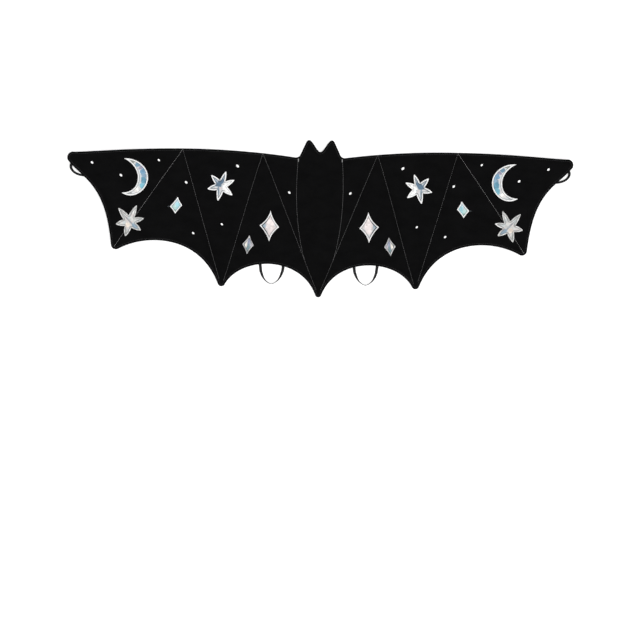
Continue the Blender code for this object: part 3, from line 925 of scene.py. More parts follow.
@dataclass
class Quilting:
    """The shape of the padded cloth: where it is sewn down and how high it stands between."""

    seam_level: float = 1.65
    padding_lift: float = 0.4
    skin: float = 1.15
    padding: float = 0.9
    rib_reach: float = 9.0
    hem: float = 4.0
    hem_reach: float = 11.0
    rim: float = 1.3
    lip: float = 0.35
    pucker: float = 0.24
    pucker_length: float = 10.5
    tip_lift: float = 6.5
    tip_start: float = 285.0
    tip_end: float = 412.0
    strap_lift: float = 1.4
    strap_flat: float = 30.0
    strap_end: float = 62.0
    pressed: float = 0.35
    edge_line: Array = field(init=False)
    rib_curves: list[Array] = field(init=False)
    known: dict[bytes, Seams] = field(init=False, default_factory=dict)

    def __post_init__(self) -> None:
        """Work out the right half's outline and its ribs."""
        sides = sides_of(OUTLINE, 1.6)
        pieces = [rounded_off(MIRROR * sides[0][0], OUTLINE[0], sides[0][0], 17)[8:]]
        for before, after, corner in zip(sides[:-1], sides[1:], OUTLINE[1:-1]):
            pieces += [before, rounded_off(before[-1], corner, after[0], 31)]
        end = sides[-1][-1]
        pieces += [sides[-1], rounded_off(end, OUTLINE[-1], MIRROR * end, 31)[:16]]
        self.edge_line = np.vstack(pieces)
        self.rib_curves = [resample(cubic(*rib, 200), 3.0) for rib in RIBS]

    def whole_edge(self) -> Array:
        """The closed outline of both wings, anticlockwise."""
        return np.vstack([self.edge_line[::-1], (self.edge_line * MIRROR)[1:-1]])

    def seams(self, points: Array) -> Seams:
        """Distances from points to the outline and the nearest rib, kept for the other wing's points."""
        folded = folded_over(points)
        key = folded.tobytes()
        if key not in self.known:
            self.known[key] = self.measure(folded)
        return self.known[key]

    def measure(self, folded: Array) -> Seams:
        """Distances from points of the right half to the outline and to the nearest rib."""
        edge, edge_run = nearest_on(folded, self.edge_line)
        found = [nearest_on(folded, rib) for rib in self.rib_curves]
        away = np.array([distance for distance, _ in found])
        runs = np.array([run + 137.0 * k for k, (_, run) in enumerate(found)])
        best, row = away.argmin(0), np.arange(len(folded))
        return Seams(edge, edge_run, away[best, row], runs[best, row])

    def lay(self, points: Array) -> Array:
        """Height of the cloth's underside: over the loops at the tips, over the arm loops, and in waves.

        Each wave is its rise times (1 - (dx/reach)^2 - (dy/reach)^2)^2 inside its oval.
        """
        x, y = points.T
        ramp = (np.abs(x) - self.tip_start) / (self.tip_end - self.tip_start)
        strap = np.array([(stop.x, stop.y) for stop in ARM_ROUTE])
        away = nearest_on(folded_over(points), strap)[0] - self.strap_flat
        over_strap = self.strap_lift * (1.0 - smooth(away / (self.strap_end - self.strap_flat)))
        height = np.maximum(self.tip_lift * smooth(ramp), over_strap)
        for wave in WAVES:
            oval = ((x - wave.x) / wave.reach_x) ** 2 + ((y - wave.y) / wave.reach_y) ** 2
            height = height + wave.rise * np.clip(1.0 - oval, 0.0, 1.0) ** 2
        return height

    def fill(self, seams: Seams) -> Array:
        """0 on a seam and 1 between seams: a quarter round from the ribs times one from the hem."""
        return (quarter_round(seams.rib / self.rib_reach)
                * quarter_round((seams.edge - self.hem) / self.hem_reach))

    def creases(self, points: Array, seams: Seams) -> Array:
        """Soft creases of the padding, and puckers that the stitches draw beside them.

        The creases are a sum of long sines bent by one another, held down at
        the seams. A pucker is (d/3) e^(1 - d/3) at a distance d from the
        seam times a sine along it.
        """
        x, y = points.T
        bent = 9.0 * np.sin(y / 31.0 + 0.8) + 6.0 * np.sin(x / 47.0)
        long = (0.20 * np.sin((x + bent) / 11.5 + 0.030 * y)
                + 0.16 * np.sin((0.5 * x - y + bent) / 9.0)
                + 0.12 * np.sin((x + 0.8 * y) / 6.3 + 2.0))
        strength = 0.55 + 0.45 * np.sin(x / 37.0 + 1.3) * np.sin(y / 29.0 + 0.4)
        result = self.fill(seams) * strength * long
        for away, run, share in ((seams.rib, seams.rib_run, 1.0),
                                 (seams.edge - self.hem, seams.edge_run, 0.8)):
            near = np.clip(np.abs(away) / 3.0, 0.0, 8.0)
            wave = np.sin(run * 2.0 * math.pi / self.pucker_length + 1.7 * np.sin(run / 23.0) + 0.02 * x)
            result = result + share * self.pucker * near * np.exp(1.0 - near) * wave
        return result

    def middle(self, points: Array, seams: Seams) -> Array:
        """Height of the seam between the two panels."""
        return self.lay(points) + self.seam_level + self.padding_lift * self.fill(seams)

    def skin_height(self, seams: Seams) -> Array:
        """How far a panel's face stands off the seam between them: round at the rim, full between seams."""
        rim = quarter_round(seams.edge / self.rim)
        hump = np.sin(np.clip(seams.edge / self.hem, 0.0, 1.0) * math.pi) ** 2
        return self.skin * rim + self.lip * hump + self.padding * self.fill(seams)

    def surface(self, face: Face, points: Array, seams: Seams | None = None) -> Array:
        """Height of a panel's face. The surface below presses the back flat, so little of its creases is left.

        Args:
            face: which panel.
            points: places in the plan.
            seams: their distances from the seams, where these are known.

        Returns:
            One height a point.
        """
        seams = seams or self.seams(points)
        creases = self.creases(points, seams)
        if face is Face.BACK:
            creases = self.pressed * np.maximum(creases, 0.0)
        share = quarter_round(seams.edge / (3.0 * self.rim))
        return self.middle(points, seams) + face.value * self.skin_height(seams) + share * creases

    def front(self, points: Array) -> Array:
        """Height of the front panel's face, for points in an array of any shape."""
        return self.surface(Face.FRONT, points.reshape(-1, 2)).reshape(points.shape[:-1])

    def patch_base(self, points: Array) -> Array:
        """Where a sewn-on shape lies: on the padding, and a little into the seams under it."""
        seams = self.seams(points)
        dip = 0.35 + 0.65 * quarter_round(seams.rib / (1.3 * self.rib_reach))
        return self.lay(points) + self.seam_level + self.skin + (self.padding_lift + self.padding) * dip + 0.05


@dataclass
class ClothGrid:
    """The grid of columns and rows across the wings that both panels share.

    Every column runs from the lower outline over a row on the ribs to the
    upper outline. Columns stand closer where an outline or a rib is steep,
    and rows closer beside the seams.
    """

    quilting: Quilting
    column_step: float = 1.75
    body_line_x: float = 41.0
    body_line_reach: float = 15.0
    middle_rows: int = 10
    inner_rows: int = 12
    edge_offsets: tuple[float, ...] = (0.0, 0.12, 0.45, 1.0, 1.7, 2.5, 3.2, 3.8, 4.4, 5.2, 6.6, 8.6, 11.5)
    rib_offsets: tuple[float, ...] = (0.0, 0.5, 1.1, 1.9, 3.0, 4.6, 7.0, 10.5)
    outer: Array = field(init=False)
    inner: Array = field(init=False)
    outer_seams: Seams = field(init=False)
    inner_seams: Seams = field(init=False)

    def __post_init__(self) -> None:
        """Work out the right half and mirror it: the face's grid, and fewer of its rows for the lining."""
        half = self.half_plan()
        picked = np.unique(np.linspace(0, half.shape[1] - 1, self.inner_rows).round().astype(int))
        self.outer, self.outer_seams = self.both_halves(half)
        self.inner, self.inner_seams = self.both_halves(half[:, picked])

    def both_halves(self, half: Array) -> tuple[Array, Seams]:
        """A grid on both wings from the right half's, with its distances from the seams.

        Args:
            half: the right half's plan by column, row and axis.

        Returns:
            The whole plan from the left tip to the right one, and its distances as flat arrays.
        """
        whole = np.concatenate([half[:0:-1] * MIRROR, half])
        seams = self.quilting.seams(half.reshape(-1, 2))
        parts = [part.reshape(half.shape[:2]) for part in vars(seams).values()]
        return whole, Seams(*(np.concatenate([part[:0:-1], part]).ravel() for part in parts))

    def rib_row(self, x: Array, low: Array, top: Array) -> Array:
        """Place in the plan of the row that follows the ribs in zigzag, then drifts to mid-column."""
        zigzag = np.vstack([[(0.0, -151.5)], cubic(*BELLY_RIB, 120)[::-1], cubic(*INNER_RIB, 120),
                            cubic(*MIDDLE_RIB, 120)[::-1], cubic(*UPPER_RIB, 120)])
        end_x, end_y = zigzag[-1]
        height = np.interp(x, zigzag[:, 0], zigzag[:, 1])
        end_low, end_top = np.interp(end_x, x, low), np.interp(end_x, x, top)
        at_end = (end_y - end_low) / (end_top - end_low)
        share = at_end + (0.5 - at_end) * smooth((x - end_x) / (x[-1] - end_x))
        return np.where(x > end_x, low + share * (top - low), height)

    def columns(self) -> tuple[Array, Array, Array, Array]:
        """Place the columns of the right half.

        Returns:
            Their places along X, and the heights in the plan of the lower
            outline, of the rib row and of the upper outline in each.
        """
        line = self.quilting.edge_line
        tip = line[:, 0].argmax()
        upper, lower = line[:tip + 1], line[tip:][::-1]
        upper_x, lower_x = np.maximum.accumulate(upper[:, 0]), np.maximum.accumulate(lower[:, 0])
        x = np.unique(np.concatenate([upper_x, lower_x, np.linspace(0.0, line[tip, 0], 1500)]))
        x = x[x >= 0.0]
        low, top = np.interp(x, lower_x, lower[:, 1]), np.interp(x, upper_x, upper[:, 1])
        rib = self.rib_row(x, low, top)
        step = np.diff(x)
        spacing = np.max([np.hypot(step, np.diff(low)), 0.8 * np.hypot(step, np.diff(top)),
                          0.6 * np.hypot(step, np.diff(rib))], axis=0)
        middle = 0.5 * (x[1:] + x[:-1])
        near_body_line = np.exp(-((middle - self.body_line_x) / self.body_line_reach) ** 4)
        measure = np.concatenate([[0.0], np.cumsum(spacing * (1.0 + near_body_line))])
        count = round(measure[-1] / self.column_step)
        places = np.interp(np.linspace(0.0, measure[-1], count), measure, x)
        places[0] = 0.0
        return places, np.interp(places, x, low), np.interp(places, x, rib), np.interp(places, x, top)

    def span(self, x: Array, start: Array, end: Array, start_offsets: Array, end_offsets: Array) -> Array:
        """Rows between two lines across the columns.

        Args:
            x: the columns' places.
            start: the height in the plan where the rows start.
            end: the height where they end.
            start_offsets: distances of the first rows square to the start line.
            end_offsets: distances of the last rows square to the end line.

        Returns:
            Heights in the plan, by column and row.
        """
        steep = [np.sqrt(1.0 + np.gradient(line, x + 1e-7 * np.arange(len(x))) ** 2).clip(max=14.0)
                 for line in (start, end)]
        first, last = steep[0][:, None] * start_offsets, steep[1][:, None] * end_offsets
        room = np.maximum(end - start, 0.0)
        shrink = np.minimum(1.0, 0.8 * room / np.maximum(first[:, -1] + last[:, -1], 1e-6))[:, None]
        bottom, top = start[:, None] + first * shrink, (end[:, None] - last * shrink)[:, ::-1]
        share = np.linspace(0.0, 1.0, self.middle_rows + 2)[1:-1]
        between = bottom[:, -1:] + (top[:, :1] - bottom[:, -1:]) * share
        return np.hstack([bottom, between, top])

    def half_plan(self) -> Array:
        """The right half's plan by column, row and axis."""
        x, low, rib, top = self.columns()
        edge, beside = np.array(self.edge_offsets), np.array(self.rib_offsets)
        lower = self.span(x, low, rib, edge, beside)
        upper = self.span(x, rib, top, beside, edge)
        rows = np.hstack([lower, upper[:, 1:]])
        return np.stack([np.broadcast_to(x[:, None], rows.shape), rows], axis=2)


def blurred(heights: Array, times: int) -> Array:
    """Heights on a grid, shared 1 : 2 : 1 between neighbours along both axes, some times over."""
    for _ in range(times):
        for axis in (0, 1):
            turned = np.moveaxis(heights, axis, 0)
            framed = np.concatenate([turned[:1], turned, turned[-1:]])
            heights = np.moveaxis(0.25 * framed[:-2] + 0.5 * turned + 0.25 * framed[2:], 0, axis)
    return heights


def doubled(heights: Array) -> Array:
    """Heights on a grid of half the cells, with the means of neighbours between them."""
    for _ in range(2):
        finer = np.repeat(heights, 2, axis=0)[:-1]
        finer[1::2] = 0.5 * (heights[1:] + heights[:-1])
        heights = finer.T
    return heights


@dataclass
class BlownVelvet:
    """The front velvet as cloth cut a little too large for its seams, blown up by the wadding under it.

    Blender's cloth solver runs on a plain grid over the wings, at ten times
    their size, where its steps are stable. The cloth is held wherever it is
    sewn: along ribs and hem, and under the shapes and dots. What is kept is
    how far the result stands off its own soft form, so the padding's height
    stays as it is and gains the creases and puckers.
    """

    quilting: Quilting
    outlines: list[Array]
    cell: float = 5.0
    reach_x: float = 530.0
    low_y: float = -185.0
    top_y: float = 165.0
    size: float = 10.0
    pressure: float = 1.5
    excess: float = 0.005
    frames: int = 20
    cap: float = 1.5
    gain: float = 0.9
    soft_passes: int = 12
    rib_hold: float = 2.6
    edge_hold: float = 5.5
    shape_hold: float = 2.5
    dot_hold: float = 4.5
    margin: float = 6.0
    relief: Array = field(init=False)

    def __post_init__(self) -> None:
        """Solve the cloth and keep its creases on a grid of half the cells."""
        x = np.arange(-self.reach_x, self.reach_x + 0.1, self.cell)
        y = np.arange(self.low_y, self.top_y + 0.1, self.cell)
        plan = np.stack(np.meshgrid(x, y, indexing="ij"), axis=2)
        held, used = self.held(plan.reshape(-1, 2))
        heights = self.solved(plan, held, used)
        capped = self.cap * np.tanh(heights / self.cap)
        free = 1.0 - blurred(held.reshape(heights.shape).astype(float), 2)
        creases = self.gain * free * (capped - blurred(capped, self.soft_passes))
        self.relief = blurred(doubled(creases), 1)

    def held(self, plan: Array) -> tuple[Array, Array]:
        """Where the cloth is sewn down, and where there is cloth at all.

        Args:
            plan: the grid's points, one row each.

        Returns:
            Two masks, one value a point.
        """
        seams = self.quilting.seams(plan)
        within = inside(plan, self.quilting.whole_edge()[::3])
        folded = folded_over(plan)
        held = ~within | (seams.rib < self.rib_hold) | (seams.edge < self.edge_hold)
        for outline in self.outlines:
            held |= inside(folded, outline) | (nearest_on(folded, closed(outline))[0] < self.shape_hold)
        for dot in DOTS:
            held |= np.hypot(*(folded - dot[:2]).T) < self.dot_hold
        return held, within | (seams.edge < self.margin)

    def solved(self, plan: Array, held: Array, used: Array) -> Array:
        """Run the solver on the cloth's grid.

        Args:
            plan: the grid's points by column, row and axis.
            held: where the cloth is sewn down.
            used: where there is cloth.

        Returns:
            The heights in millimetres by column and row, zero where there is no cloth.
        """
        quads = grid_faces(*plan.shape[:2], flip=True)
        quads = quads[used[quads].all(1)]
        kept = np.unique(quads)
        x, y = plan.reshape(-1, 2)[kept].T
        start = 0.3 * np.sin((x + 9.0 * np.sin(y / 31.0)) / 8.0) * np.sin(y / 11.0 + 0.7 * np.sin(x / 21.0))
        points = np.column_stack([x, y, np.where(held[kept], 0.0, start)]) * MM * self.size
        mesh = bpy.data.meshes.new("velvet at rest")
        mesh.from_pydata(points.tolist(), [], np.searchsorted(kept, quads).tolist())
        cloth = bpy.data.objects.new("velvet at rest", mesh)
        scene = bpy.context.scene
        scene.collection.objects.link(cloth)
        cloth.vertex_groups.new(name="sewn").add(np.flatnonzero(held[kept]).tolist(), 1.0, "REPLACE")
        solver = cloth.modifiers.new("solver", "CLOTH")
        solver.point_cache.frame_end = self.frames
        solver.collision_settings.use_collision = False
        fabric = solver.settings
        fabric.vertex_group_mass = "sewn"
        fabric.bending_stiffness = 0.5
        fabric.air_damping = 2.0
        fabric.use_pressure = True
        fabric.uniform_pressure_force = self.pressure
        fabric.shrink_min = -self.excess
        fabric.effector_weights.gravity = 0.0
        for frame in range(1, self.frames + 1):
            scene.frame_set(frame)
        places = np.empty(3 * len(kept), np.float32)
        settled = cloth.evaluated_get(bpy.context.evaluated_depsgraph_get())
        settled.data.vertices.foreach_get("co", places)
        heights = np.zeros(len(held))
        heights[kept] = places[2::3] / (MM * self.size)
        bpy.data.objects.remove(cloth)
        bpy.data.meshes.remove(mesh)
        scene.frame_set(1)
        LOG.info("velvet settled: %.2f to %.2f mm", heights.min(), heights.max())
        return heights.reshape(plan.shape[:2])

    def at(self, plan: Array, seams: Seams) -> Array:
        """The creases' heights at points of the plan, held to nothing at the seams."""
        relief = self.relief
        last = np.array(relief.shape) - 1.001
        place = np.clip((plan - (-self.reach_x, self.low_y)) * 2.0 / self.cell, 0.0, last)
        i, j = place.astype(int).T
        du, dv = (place % 1.0).T
        height = ((1.0 - du) * ((1.0 - dv) * relief[i, j] + dv * relief[i, j + 1])
                  + du * ((1.0 - dv) * relief[i + 1, j] + dv * relief[i + 1, j + 1]))
        off_hem = seams.edge - self.quilting.hem - 0.5
        return height * smooth((seams.rib - 1.0) / 4.0) * smooth(off_hem / 4.0)


@dataclass
class ClothPanel:
    """One velvet panel as a closed skin: its face, and a lining just off the seam between the panels."""

    face: Face
    quilting: Quilting
    grid: ClothGrid
    blown: BlownVelvet | None = None
    off_seam: float = 0.05
    fill: float = 0.2

    def build(self) -> bpy.types.Object:
        """Close the face with the lining; the two meet on the outline."""
        outer, inner = self.grid.outer, self.grid.inner
        plan, lining_plan = outer.reshape(-1, 2), inner.reshape(-1, 2)
        seams = self.grid.outer_seams
        off = self.face.value * self.off_seam
        height = self.quilting.surface(self.face, plan, seams)
        if self.blown:
            height = height + self.blown.at(plan, seams)
        height = np.where(seams.edge < 1e-3, self.quilting.middle(plan, seams) + off, height)
        lining = self.quilting.middle(lining_plan, self.grid.inner_seams) + off
        points = np.vstack([raised(plan, height), raised(lining_plan, lining)])
        is_front = self.face is Face.FRONT
        faces = [grid_faces(*outer.shape[:2], flip=is_front),
                 grid_faces(*inner.shape[:2], first=len(plan), flip=not is_front)]
        name = self.face.label
        piece = add_piece(f"{name}_cloth", Form(points, faces), Velvet(f"black velvet {name}"),
                          weld=True, stands_for=f"{name}_panel")
        return piece


@dataclass
class Topstitching:
    """Rows of lockstitch along the ribs and round the hem of one face."""

    face: Face
    quilting: Quilting
    length: float = 3.0
    gap: float = 0.9
    radius: float = 0.27
    sides: int = 6
    lead: float = 3.0
    body_lift: float = 0.34
    dive: float = 0.34
    shoulder: float = 0.08
    crown: float = 0.14

    def led_in(self, rib: Rib) -> Array:
        """A rib's line, run on straight at its upper end to meet its neighbour at the edge."""
        line = resample(cubic(*rib, 200), 1.0)
        lead = 0.0 if rib is BODY_LINE else self.lead
        return resample(np.vstack([line[0] - lead * headings(line)[0], line[1:]]), 1.0)

    def stitches(self, line: Array, lift: float = 0.0) -> Array:
        """Paths of the stitches along a line in the plan: arches whose ends dive into the cloth.

        Args:
            line: the line in the plan.
            lift: how far the stitches stand above their usual height.

        Returns:
            Points by stitch, place and axis.
        """
        starts = np.arange(0.5 * self.gap, run_of(line)[-1] - self.length, self.length + self.gap)
        plan = at_stations(line, (starts[:, None] + self.length * STITCH).ravel())
        arch = np.array([-self.dive, self.shoulder, self.crown, self.shoulder, -self.dive]) + lift
        height = self.quilting.surface(self.face, plan) + self.face.value * np.tile(arch, len(starts))
        if self.face is Face.BACK:
            height = np.maximum(height, self.radius)
        return raised(plan, height).reshape(len(starts), len(STITCH), 3)

    def sew(self, name: str, paths: Array, thread: Thread, slot: str) -> None:
        """Make one row of stitches a piece, thinner where they dive into the cloth."""
        profile = self.radius * np.array([0.55, 1.0, 1.0, 1.0, 0.55])
        add_piece(f"{self.face.label}_{name}_stitches", strands(paths, profile, self.sides), thread)

    def build(self) -> None:
        """Sew the ribs and the hem of both wings."""
        for name, ribs, thread in (("upper_rib", RIBS[:1], SILVER_THREAD), ("rib", RIBS[1:], GREY_THREAD)):
            paths = [self.stitches(self.led_in(rib) * side, self.body_lift * (rib is BODY_LINE))
                     for rib in ribs for side in (np.ones(2), MIRROR)]
            self.sew(name, np.concatenate(paths), thread, "light_thread")
        edge = self.quilting.whole_edge()
        hem = edge + self.quilting.hem * inward(closed(edge))[:-1]
        hem = closed(hem[self.quilting.seams(hem).edge > self.quilting.hem - 0.12])
        self.sew("hem", self.stitches(resample(hem, 1.0)), DARK_THREAD, f"{self.face.label}_velvet")


@dataclass
class BarTacks:
    """Short dense bars that lock the body lines at the neck corners."""

    quilting: Quilting
    x: float = 45.6
    y: float = 121.6
    length: float = 5.6
    width: float = 1.8
    count: int = 12
    sway: float = 0.12

    def build(self) -> None:
        """Lay threads side by side down the bar, each a small arch across it."""
        along, across = np.meshgrid(self.length * np.linspace(0.5, -0.5, self.count),
                                    self.width * (STITCH - 0.5), indexing="ij")
        y = self.y + along + self.sway * np.sin(np.arange(self.count) * 2.4)[:, None]
        arch = np.array([-0.2, 0.28, 0.42, 0.28, -0.2])
        plans = [np.dstack([side.value * (self.x + across), y]) for side in Side]
        paths = np.concatenate([raised(plan, self.quilting.front(plan) + arch) for plan in plans])
        add_piece("neck_bar_tacks", strands(paths, 0.27, 5), SILVER_THREAD)


# Sewn-on shapes


@dataclass
class Shape:
    """A sewn-on shape of the right wing: its outline and how its field is spanned."""

    name: str
    outline: Array
    foil: Foil
    border: Thread
    width: float = 2.5
    tips: tuple[tuple[float, float], tuple[float, float]] | None = None

    def rings(self, count: int) -> Array:
        """The field's plan as a grid: rings towards the middle, or rungs between a crescent's two sides.

        Args:
            count: rings or rungs.

        Returns:
            Points by row, place and axis.
        """
        share = np.linspace(0.0, 1.0, count)[:, None, None]
        if self.tips is None:
            line = closed(self.outline)
            return line[None] + (line.mean(0) - line[None]) * share
        ends = [int(np.hypot(*(self.outline - tip).T).argmin()) for tip in self.tips]
        turned = np.roll(self.outline, -ends[0], axis=0)
        second = (ends[1] - ends[0]) % len(self.outline)
        rails = (turned[:second + 1], closed(turned)[second:][::-1])
        places = 0.5 - 0.5 * np.cos(np.linspace(0.0, math.pi, 120))
        one, other = [at_stations(rail, places * run_of(rail)[-1]) for rail in rails]
        return one[None] + (other - one)[None] * share


@dataclass
class SewnShape:
    """A shape of holographic cloth with a satin-stitched border, sewn on the front of one wing."""

    shape: Shape
    side: Side
    quilting: Quilting
    puff: float = 0.75
    puff_reach: float = 5.0
    crush: float = 0.07
    lens: float = 0.2
    pitch: float = 0.42
    radius: float = 0.25
    crest: float = 0.6
    run_gap: float = 0.6
    run_pitch: float = 2.1
    run_length: float = 1.6

    def placed(self, points: Array) -> Array:
        """Right-wing plan points on this shape's own wing."""
        return points * np.array([self.side.value, 1.0])

    def field_height(self, points: Array) -> Array:
        """Height of the shiny field: it puffs up inside the border and is faintly crushed."""
        x, y = points.T
        folds = np.sin(x / 2.3 + 1.5 * np.sin(y / 3.1)) * np.sin(y / 2.9 + 0.6 * np.sin(x / 3.7))
        rise = quarter_round(nearest_on(points, closed(self.shape.outline))[0] / self.puff_reach)
        return self.quilting.patch_base(self.placed(points)) + (self.puff + self.crush * folds) * rise

    def foil_form(self) -> Form:
        """The field as a thin closed lens: its face over an underside just below the base."""
        plan = self.shape.rings(15)
        rows, columns, _ = plan.shape
        points = plan.reshape(-1, 2)
        away = nearest_on(points, closed(self.shape.outline))[0]
        place = self.placed(points)
        under = self.quilting.patch_base(place) - self.lens * smooth(away / 1.2)
        both = np.vstack([raised(place, self.field_height(points)), raised(place, under)])
        outwards = (self.side is Side.RIGHT) == (self.shape.tips is None)
        run = np.broadcast_to(run_of(plan[0]), (rows, columns)).ravel()
        uv = np.tile(np.column_stack([run, away]), (2, 1))
        return Form(both, [grid_faces(rows, columns, flip=not outwards),
                           grid_faces(rows, columns, first=len(points), flip=outwards)], uv)

    def border_widths(self, line: Array, normals: Array) -> Array:
        """How wide the border is at each place: its full width, or what a narrow tip leaves.

        A trial width w fits where the point that far inside still lies at
        least 0.72 w from the outline.
        """
        outline = closed(self.shape.outline)
        least, most = 0.5, self.shape.width
        trials = np.linspace(least, most, 10)
        fits = np.array([nearest_on(line + trial * normals, outline)[0] > 0.72 * trial for trial in trials])
        width = least + (most - least) * np.cumprod(fits, axis=0).sum(0) / len(trials)
        return np.convolve(np.concatenate([width[-3:], width, width[:3]]), np.ones(7) / 7.0, "valid")

    def border_form(self) -> Form:
        """Threads laid across the border side by side.

        A thread runs from the cloth at the outline over a round crest to the
        field at the border's inner side: at a share q of its way it stands
        crest times sqrt(1 - (2q - 1)^2) above the straight line between.
        """
        outline = closed(self.shape.outline)
        length = run_of(outline)[-1]
        count = round(length / self.pitch)
        stations = np.arange(count) * length / count
        line = at_stations(outline, stations)
        before, after = (at_stations(outline, (stations + step) % length) for step in (-0.7, 0.7))
        ahead = (after - before) / np.hypot(*(after - before).T)[:, None]
        normals = np.column_stack([-ahead[:, 1], ahead[:, 0]])
        width = self.border_widths(line, normals) * (1.0 + 0.05 * np.sin(np.arange(count) * 2.4))
        share = np.array([0.0, 0.1, 0.34, 0.66, 0.9, 1.0])
        plan = line[:, None] + (width[:, None] * share)[..., None] * normals[:, None]
        plan[:, 0] = line + 0.1 * normals
        low = self.quilting.front(self.placed(plan[:, 0])) - 0.1
        high = self.field_height(plan[:, -1]) - 0.1
        arch = self.crest * np.sqrt(np.clip(1.0 - (2.0 * share - 1.0) ** 2, 0.0, 1.0))
        height = low[:, None] + (high - low)[:, None] * share + arch * np.minimum(1.0, width / 2.2)[:, None]
        radius = self.radius * np.array([0.8, 1.0, 1.0, 1.0, 1.0, 0.7])
        return strands(raised(self.placed(plan), height), radius, 4)

    def run_form(self) -> Form | None:
        """The line of short stitches just inside the border, where the shape is wide enough."""
        outline = closed(self.shape.outline)
        inset = self.shape.width + self.run_gap
        line = outline[:-1] + inset * inward(outline)[:-1]
        line = resample(closed(line[nearest_on(line, outline)[0] > 0.93 * inset]), 0.5)
        share = np.array([0.0, 0.2, 0.8, 1.0])
        starts = np.arange(0.2, run_of(line)[-1] - self.run_length, self.run_pitch)
        stations = starts[:, None] + self.run_length * share
        clear = np.interp(stations, run_of(line), nearest_on(line, outline)[0]).min(1) > 0.9 * inset
        if not clear.any():
            return None
        plan = at_stations(line, stations[clear].ravel())
        height = self.field_height(plan) + np.tile([-0.15, 0.08, 0.08, -0.15], clear.sum())
        paths = raised(self.placed(plan), height).reshape(-1, len(share), 3)
        return strands(paths, 0.2 * np.array([0.6, 1.0, 1.0, 0.6]), 5)

    def build(self) -> None:
        """Make the field, its border and its run of stitches."""
        node = f"{self.side.label}_{self.shape.name}"
        add_piece(f"{node}_foil", self.foil_form(), self.shape.foil,
                  weld=True, stands_for=node)
        add_piece(f"{node}_border", self.border_form(), self.shape.border)
        run = self.run_form()
        if run is not None:
            add_piece(f"{node}_run_stitches", run, PALE_THREAD)


@dataclass
class ThreadTail:
    """Loose ends of the border's thread at a corner of a shape."""

    side: Side
    quilting: Quilting
    x: float = 310.6
    y: float = 21.6
    length: float = 6.0
    sway: float = 0.5

    def build(self) -> None:
        """Each end leaves the corner on its own heading and wanders in a sine along its way."""
        share = np.linspace(0.0, 1.0, 14)[None]
        turn = np.array([0.22, -0.05, -0.4])[:, None]
        reach = self.length * np.array([0.8, 1.0, 0.65])[:, None] * share
        sway = self.sway * np.sin(share * 5.0 + 3.0 * turn) * share
        plan = np.dstack([self.side.value * (self.x + reach * np.cos(turn) - sway * np.sin(turn)),
                          self.y + reach * np.sin(turn) + sway * np.cos(turn)])
        paths = raised(plan, self.quilting.front(plan) + 0.25 + 0.4 * (1.0 - share) ** 2)
        add_piece(f"{self.side.label}_thread_tail", strands(paths, 0.2, 5), PALE_THREAD)


@dataclass
class EmbroideredDot:
    """A small leaning oval of satin stitch."""

    number: int
    dot: Dot
    side: Side
    quilting: Quilting
    width: float = 4.6
    length: float = 7.1
    lean: float = 46.0
    rise: float = 1.15
    sunk: float = 0.12
    count: int = 17
    radius: float = 0.3

    def build(self) -> None:
        """Lay threads across the oval over a dome of height rise sqrt(1 - u^2 - v^2)."""
        along = np.linspace(-0.965, 0.965, self.count)[:, None]
        u = np.sqrt(1.0 - along ** 2) * np.array([-1.0, -0.93, -0.55, 0.0, 0.55, 0.93, 1.0])
        v = np.broadcast_to(along, u.shape)
        turn, size = math.radians(self.lean), self.dot.size
        across, up = 0.5 * size * self.width * u, 0.5 * size * self.length * v
        x = self.dot.x + across * math.cos(turn) + up * math.sin(turn)
        y = self.dot.y - across * math.sin(turn) + up * math.cos(turn)
        plan = np.dstack([self.side.value * x, y])
        dome = size * self.rise * np.sqrt(np.clip(1.02 - u ** 2 - v ** 2, 0.0, 1.0))
        paths = raised(plan, self.quilting.front(plan) - self.sunk + dome)
        node = f"{self.side.label}_dot_{self.number}"
        add_piece(f"{node}_stitches", strands(paths, self.radius, 5), WHITE_SATIN,
                  stands_for=node)


# Elastic


